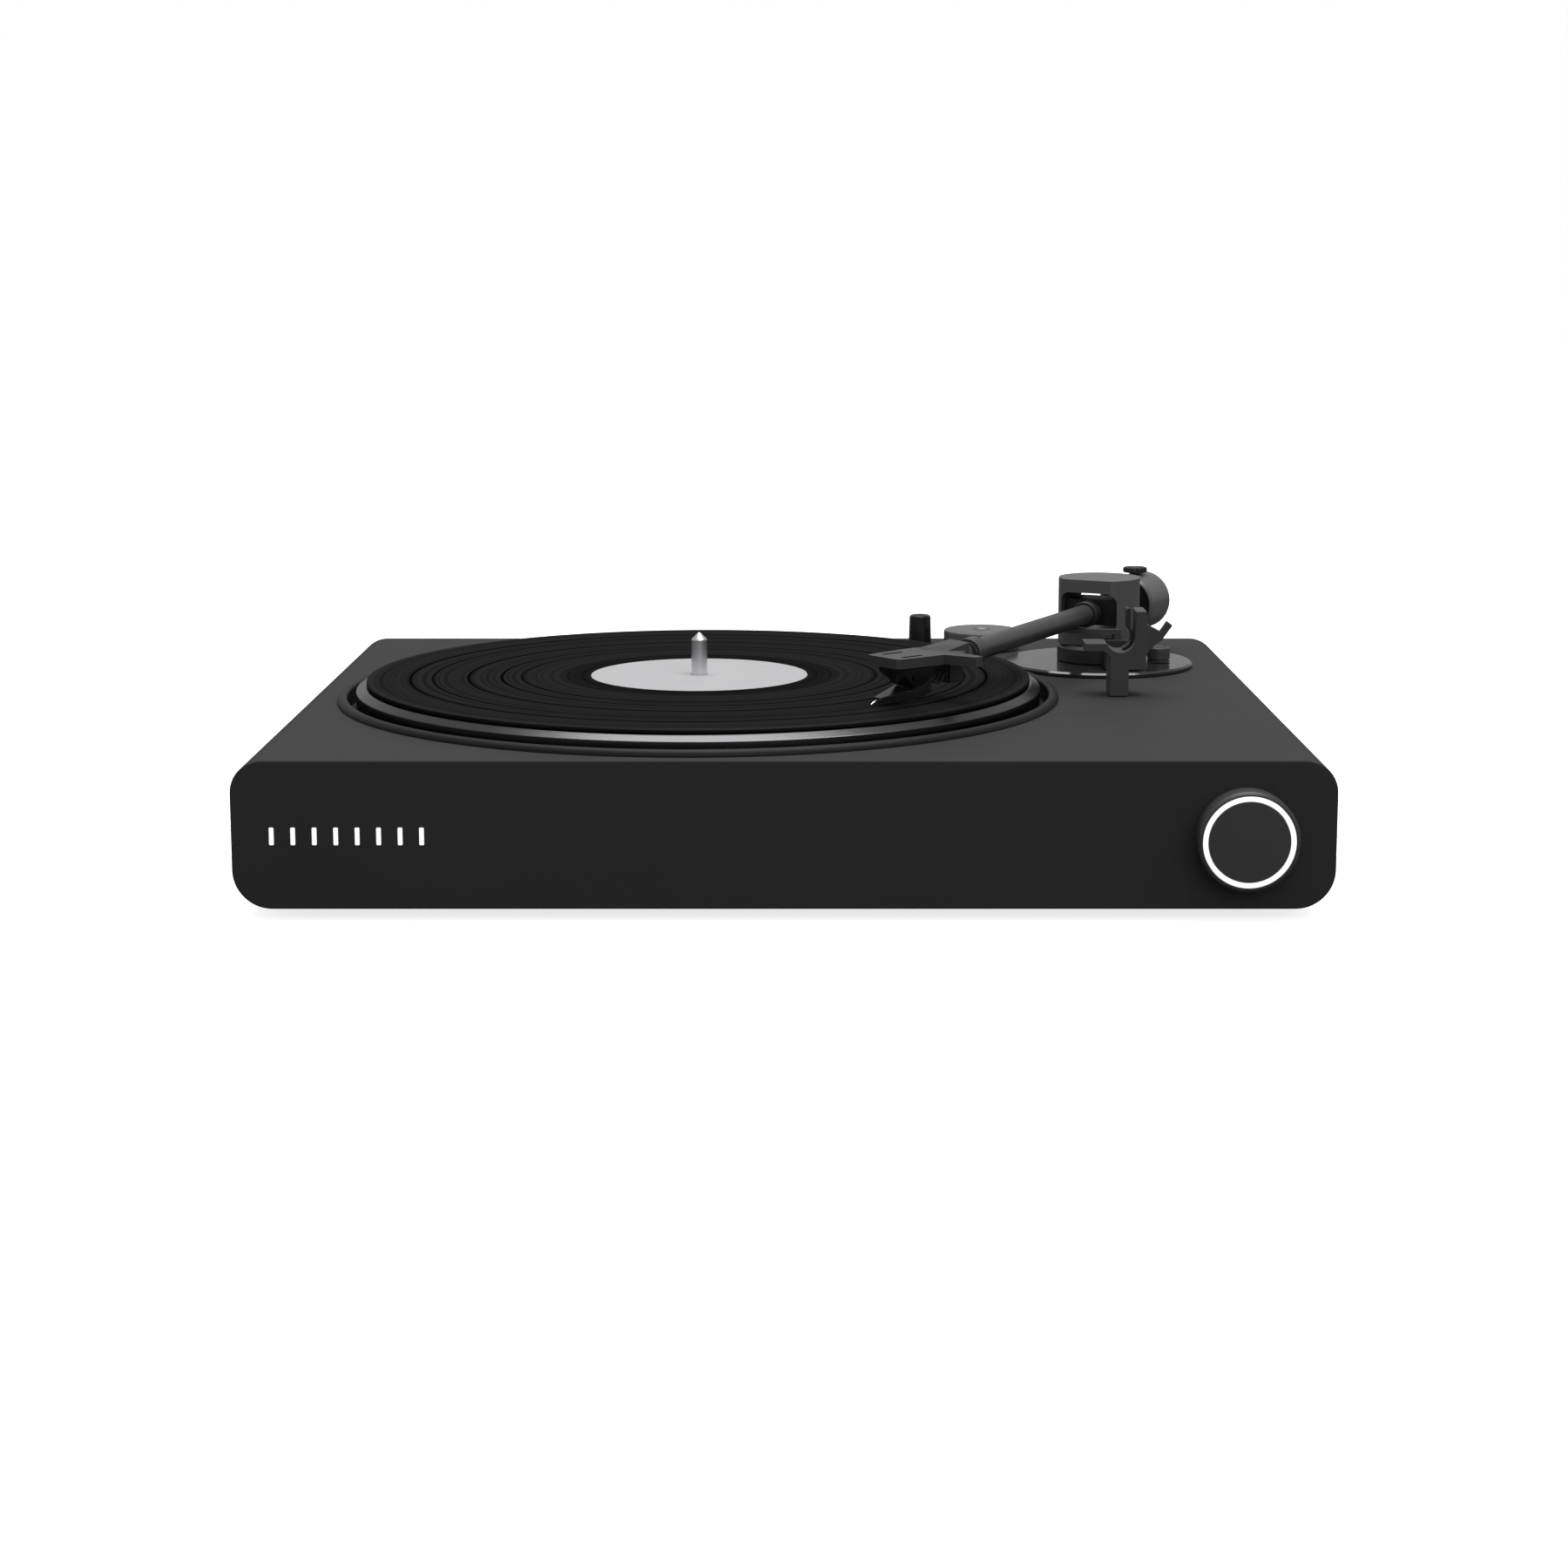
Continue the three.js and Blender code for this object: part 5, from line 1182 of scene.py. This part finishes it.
adapter = turned_piece("large_hole_adapter", [(adapter_hole, adapter_foot),
                       (adapter_radius - 0.0004, adapter_foot),
                       (adapter_radius, adapter_foot + 0.0004), (adapter_radius, adapter_top - 0.0011),
                       (adapter_radius - 0.0003, adapter_top - 0.0004), (adapter_radius - 0.001, adapter_top),
                       (adapter_hole + 0.0012, adapter_top), (adapter_hole, adapter_top - 0.0009),
                       (adapter_hole, adapter_foot)], at(adapter_x, adapter_y, deck_z), 128)
finish_piece(adapter, weight_coat, "adapter_45", "adapter_45")
peg_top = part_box("adapter_peg")[1][2] - deck_z
peg = turned_piece("turned_peg", [(peg_radius, adapter_foot), (peg_radius, peg_top - 0.0006),
                   (peg_radius - 0.0005, peg_top)], at(adapter_x, adapter_y, deck_z), 48)
finish_piece(peg, pedestal_black, "adapter_peg", "root")
selector_low, selector_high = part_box("speed_selector")
selector_top, selector_foot, selector_head, selector_stem = selector_high[2] - deck_z, 0.00585, 0.0054, 0.0025
selector = turned_piece("tapered_selector", [(selector_stem - 0.0002, selector_low[2] - deck_z),
                        (selector_stem, selector_low[2] - deck_z + 0.0002), (selector_stem, gap),
                        (selector_foot - 0.0002, gap), (selector_foot, gap + 0.0002),
                        (selector_head, selector_top - 0.0012),
                        (selector_head - 0.0003, selector_top - 0.0004),
                        (selector_head - 0.001, selector_top), (selector_head - 0.0014, selector_top),
                        (0.0022, selector_top - 0.0007)], at(selector_x, selector_y, deck_z), 96)
finish_piece(selector, cartridge_gloss, "speed_selector", "speed_selector")

# ---- Back panel -------------------------------------------------------------------------
# A moulded panel set into the back holds the two signal sockets, the power inlet, the earth
# terminal with its knurled nut and the small pre-amplifier switch.
panel_y, panel_z = panel_high[1], (panel_low[2] + panel_high[2]) / 2
facing_back = Matrix.Rotation(math.radians(-90), 4, "X")
panel = block("connector_panel", panel_low, panel_high)
inlet_low, inlet_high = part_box("dc_inlet")
switch_x = middle_of("preamp_switch")[0]
carve(panel, block("inlet_hole", (inlet_low[0] - gap, panel_low[1] - 0.01, inlet_low[2] - gap),
                   (inlet_high[0] + gap, panel_high[1] + 0.01, inlet_high[2] + gap)))
carve(panel, block("switch_hole", (switch_x - 0.00435, panel_low[1] - 0.01, panel_z - 0.00235),
                   (switch_x + 0.00435, panel_high[1] + 0.01, panel_z + 0.00235)))
socket_radius, socket_bore = 0.005, 0.0017
for node, radius in (("line_out_left", socket_radius + gap), ("line_out_right", socket_radius + gap),
                     ("ground_terminal", 0.0027)):
    hole_place = at(middle_of(node)[0], panel_y, panel_z) @ facing_back
    carve(panel, rod("panel_hole", radius, -0.01, 0.01, hole_place, 64))
round_edges(panel, 0.0003, 2, 40)
panel_plastic = satin_black("panel_plastic", 0.016, 0.6, 0.45, 0.0006)
finish_piece(panel, panel_plastic, "rear_panel", "root")
socket_gold = bright_steel("socket_gold", 0.5, 0.25)
socket_gold.node_tree.nodes["Mix"].inputs["A"].default_value = (0.72, 0.52, 0.2, 1)
socket_gold.node_tree.nodes["Mix"].inputs["B"].default_value = (0.85, 0.64, 0.28, 1)
for side in ("left", "right"):
    node = "line_out_" + side
    low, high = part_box(node)
    length = high[1] - low[1]
    barrel = turned_piece("signal_socket_" + side, [(socket_radius - 0.0003, 0), (socket_radius, 0.0003),
                          (socket_radius, length - 0.0006), (socket_radius - 0.0006, length),
                          (socket_radius - 0.0012, length), (socket_radius - 0.0015, length - 0.0003),
                          (socket_bore + 0.0004, length - 0.0003), (socket_bore, length - 0.0006),
                          (socket_bore, length - 0.009)], None, 64)
    settle(barrel, at(middle_of(node)[0], low[1], panel_z) @ facing_back)
    finish_piece(barrel, socket_gold, node, "root")
inlet = block("power_inlet", inlet_low, inlet_high)
bevel_edges(inlet, 0.001, 4, lambda a, b: abs(a.x - b.x) < 1e-6 and abs(a.z - b.z) < 1e-6)
carve(inlet, rod("inlet_bore", 0.0028, -0.009, 0.01, at(middle_of("dc_inlet")[0], inlet_high[1], panel_z)
                 @ facing_back, 48))
round_edges(inlet, 0.0002, 2, 40)
finish_piece(inlet, arm_plastic, "dc_inlet", "root")
earth_low, earth_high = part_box("ground_terminal")
earth_length, cap_face, shank_radius = earth_high[1] - earth_low[1], 0.0046, 0.0024
cap_from = panel_high[1] + gap - earth_low[1]
earth = turned_piece("earth_nut", [(shank_radius - 0.0003, 0), (shank_radius, 0.0003),
                     (shank_radius, cap_from),
                     (cap_face, cap_from), (cap_face, earth_length - 0.0005),
                     (cap_face - 0.0005, earth_length),
                     (0.0016, earth_length), (0.0012, earth_length - 0.0004)], None, 72)
for notch in range(18):
    turn = Matrix.Rotation(math.radians(20 * notch), 4, "Z")
    groove_place = turn @ at(cap_face, 0)
    carve(earth, rod("knurl_cut", 0.00035, cap_from - 0.001, earth_length + 0.001, groove_place, 12))
crisp(earth, 30)
settle(earth, at(middle_of("ground_terminal")[0], earth_low[1], panel_z) @ facing_back)
finish_piece(earth, motor_steel, "ground_terminal", "root")
switch_low, switch_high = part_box("preamp_switch")
switch = block("slide_switch", switch_low, switch_high)
for rib in (-0.0011, 0, 0.0011):
    carve(switch, block("rib_cut", (switch_x + rib - 0.0002, switch_high[1] - 0.0006, switch_low[2] - 0.001),
                        (switch_x + rib + 0.0002, switch_high[1] + 0.001, switch_high[2] + 0.001)))
round_edges(switch, 0.00015, 2, 40)
finish_piece(switch, panel_plastic, "preamp_switch", "preamp_switch")
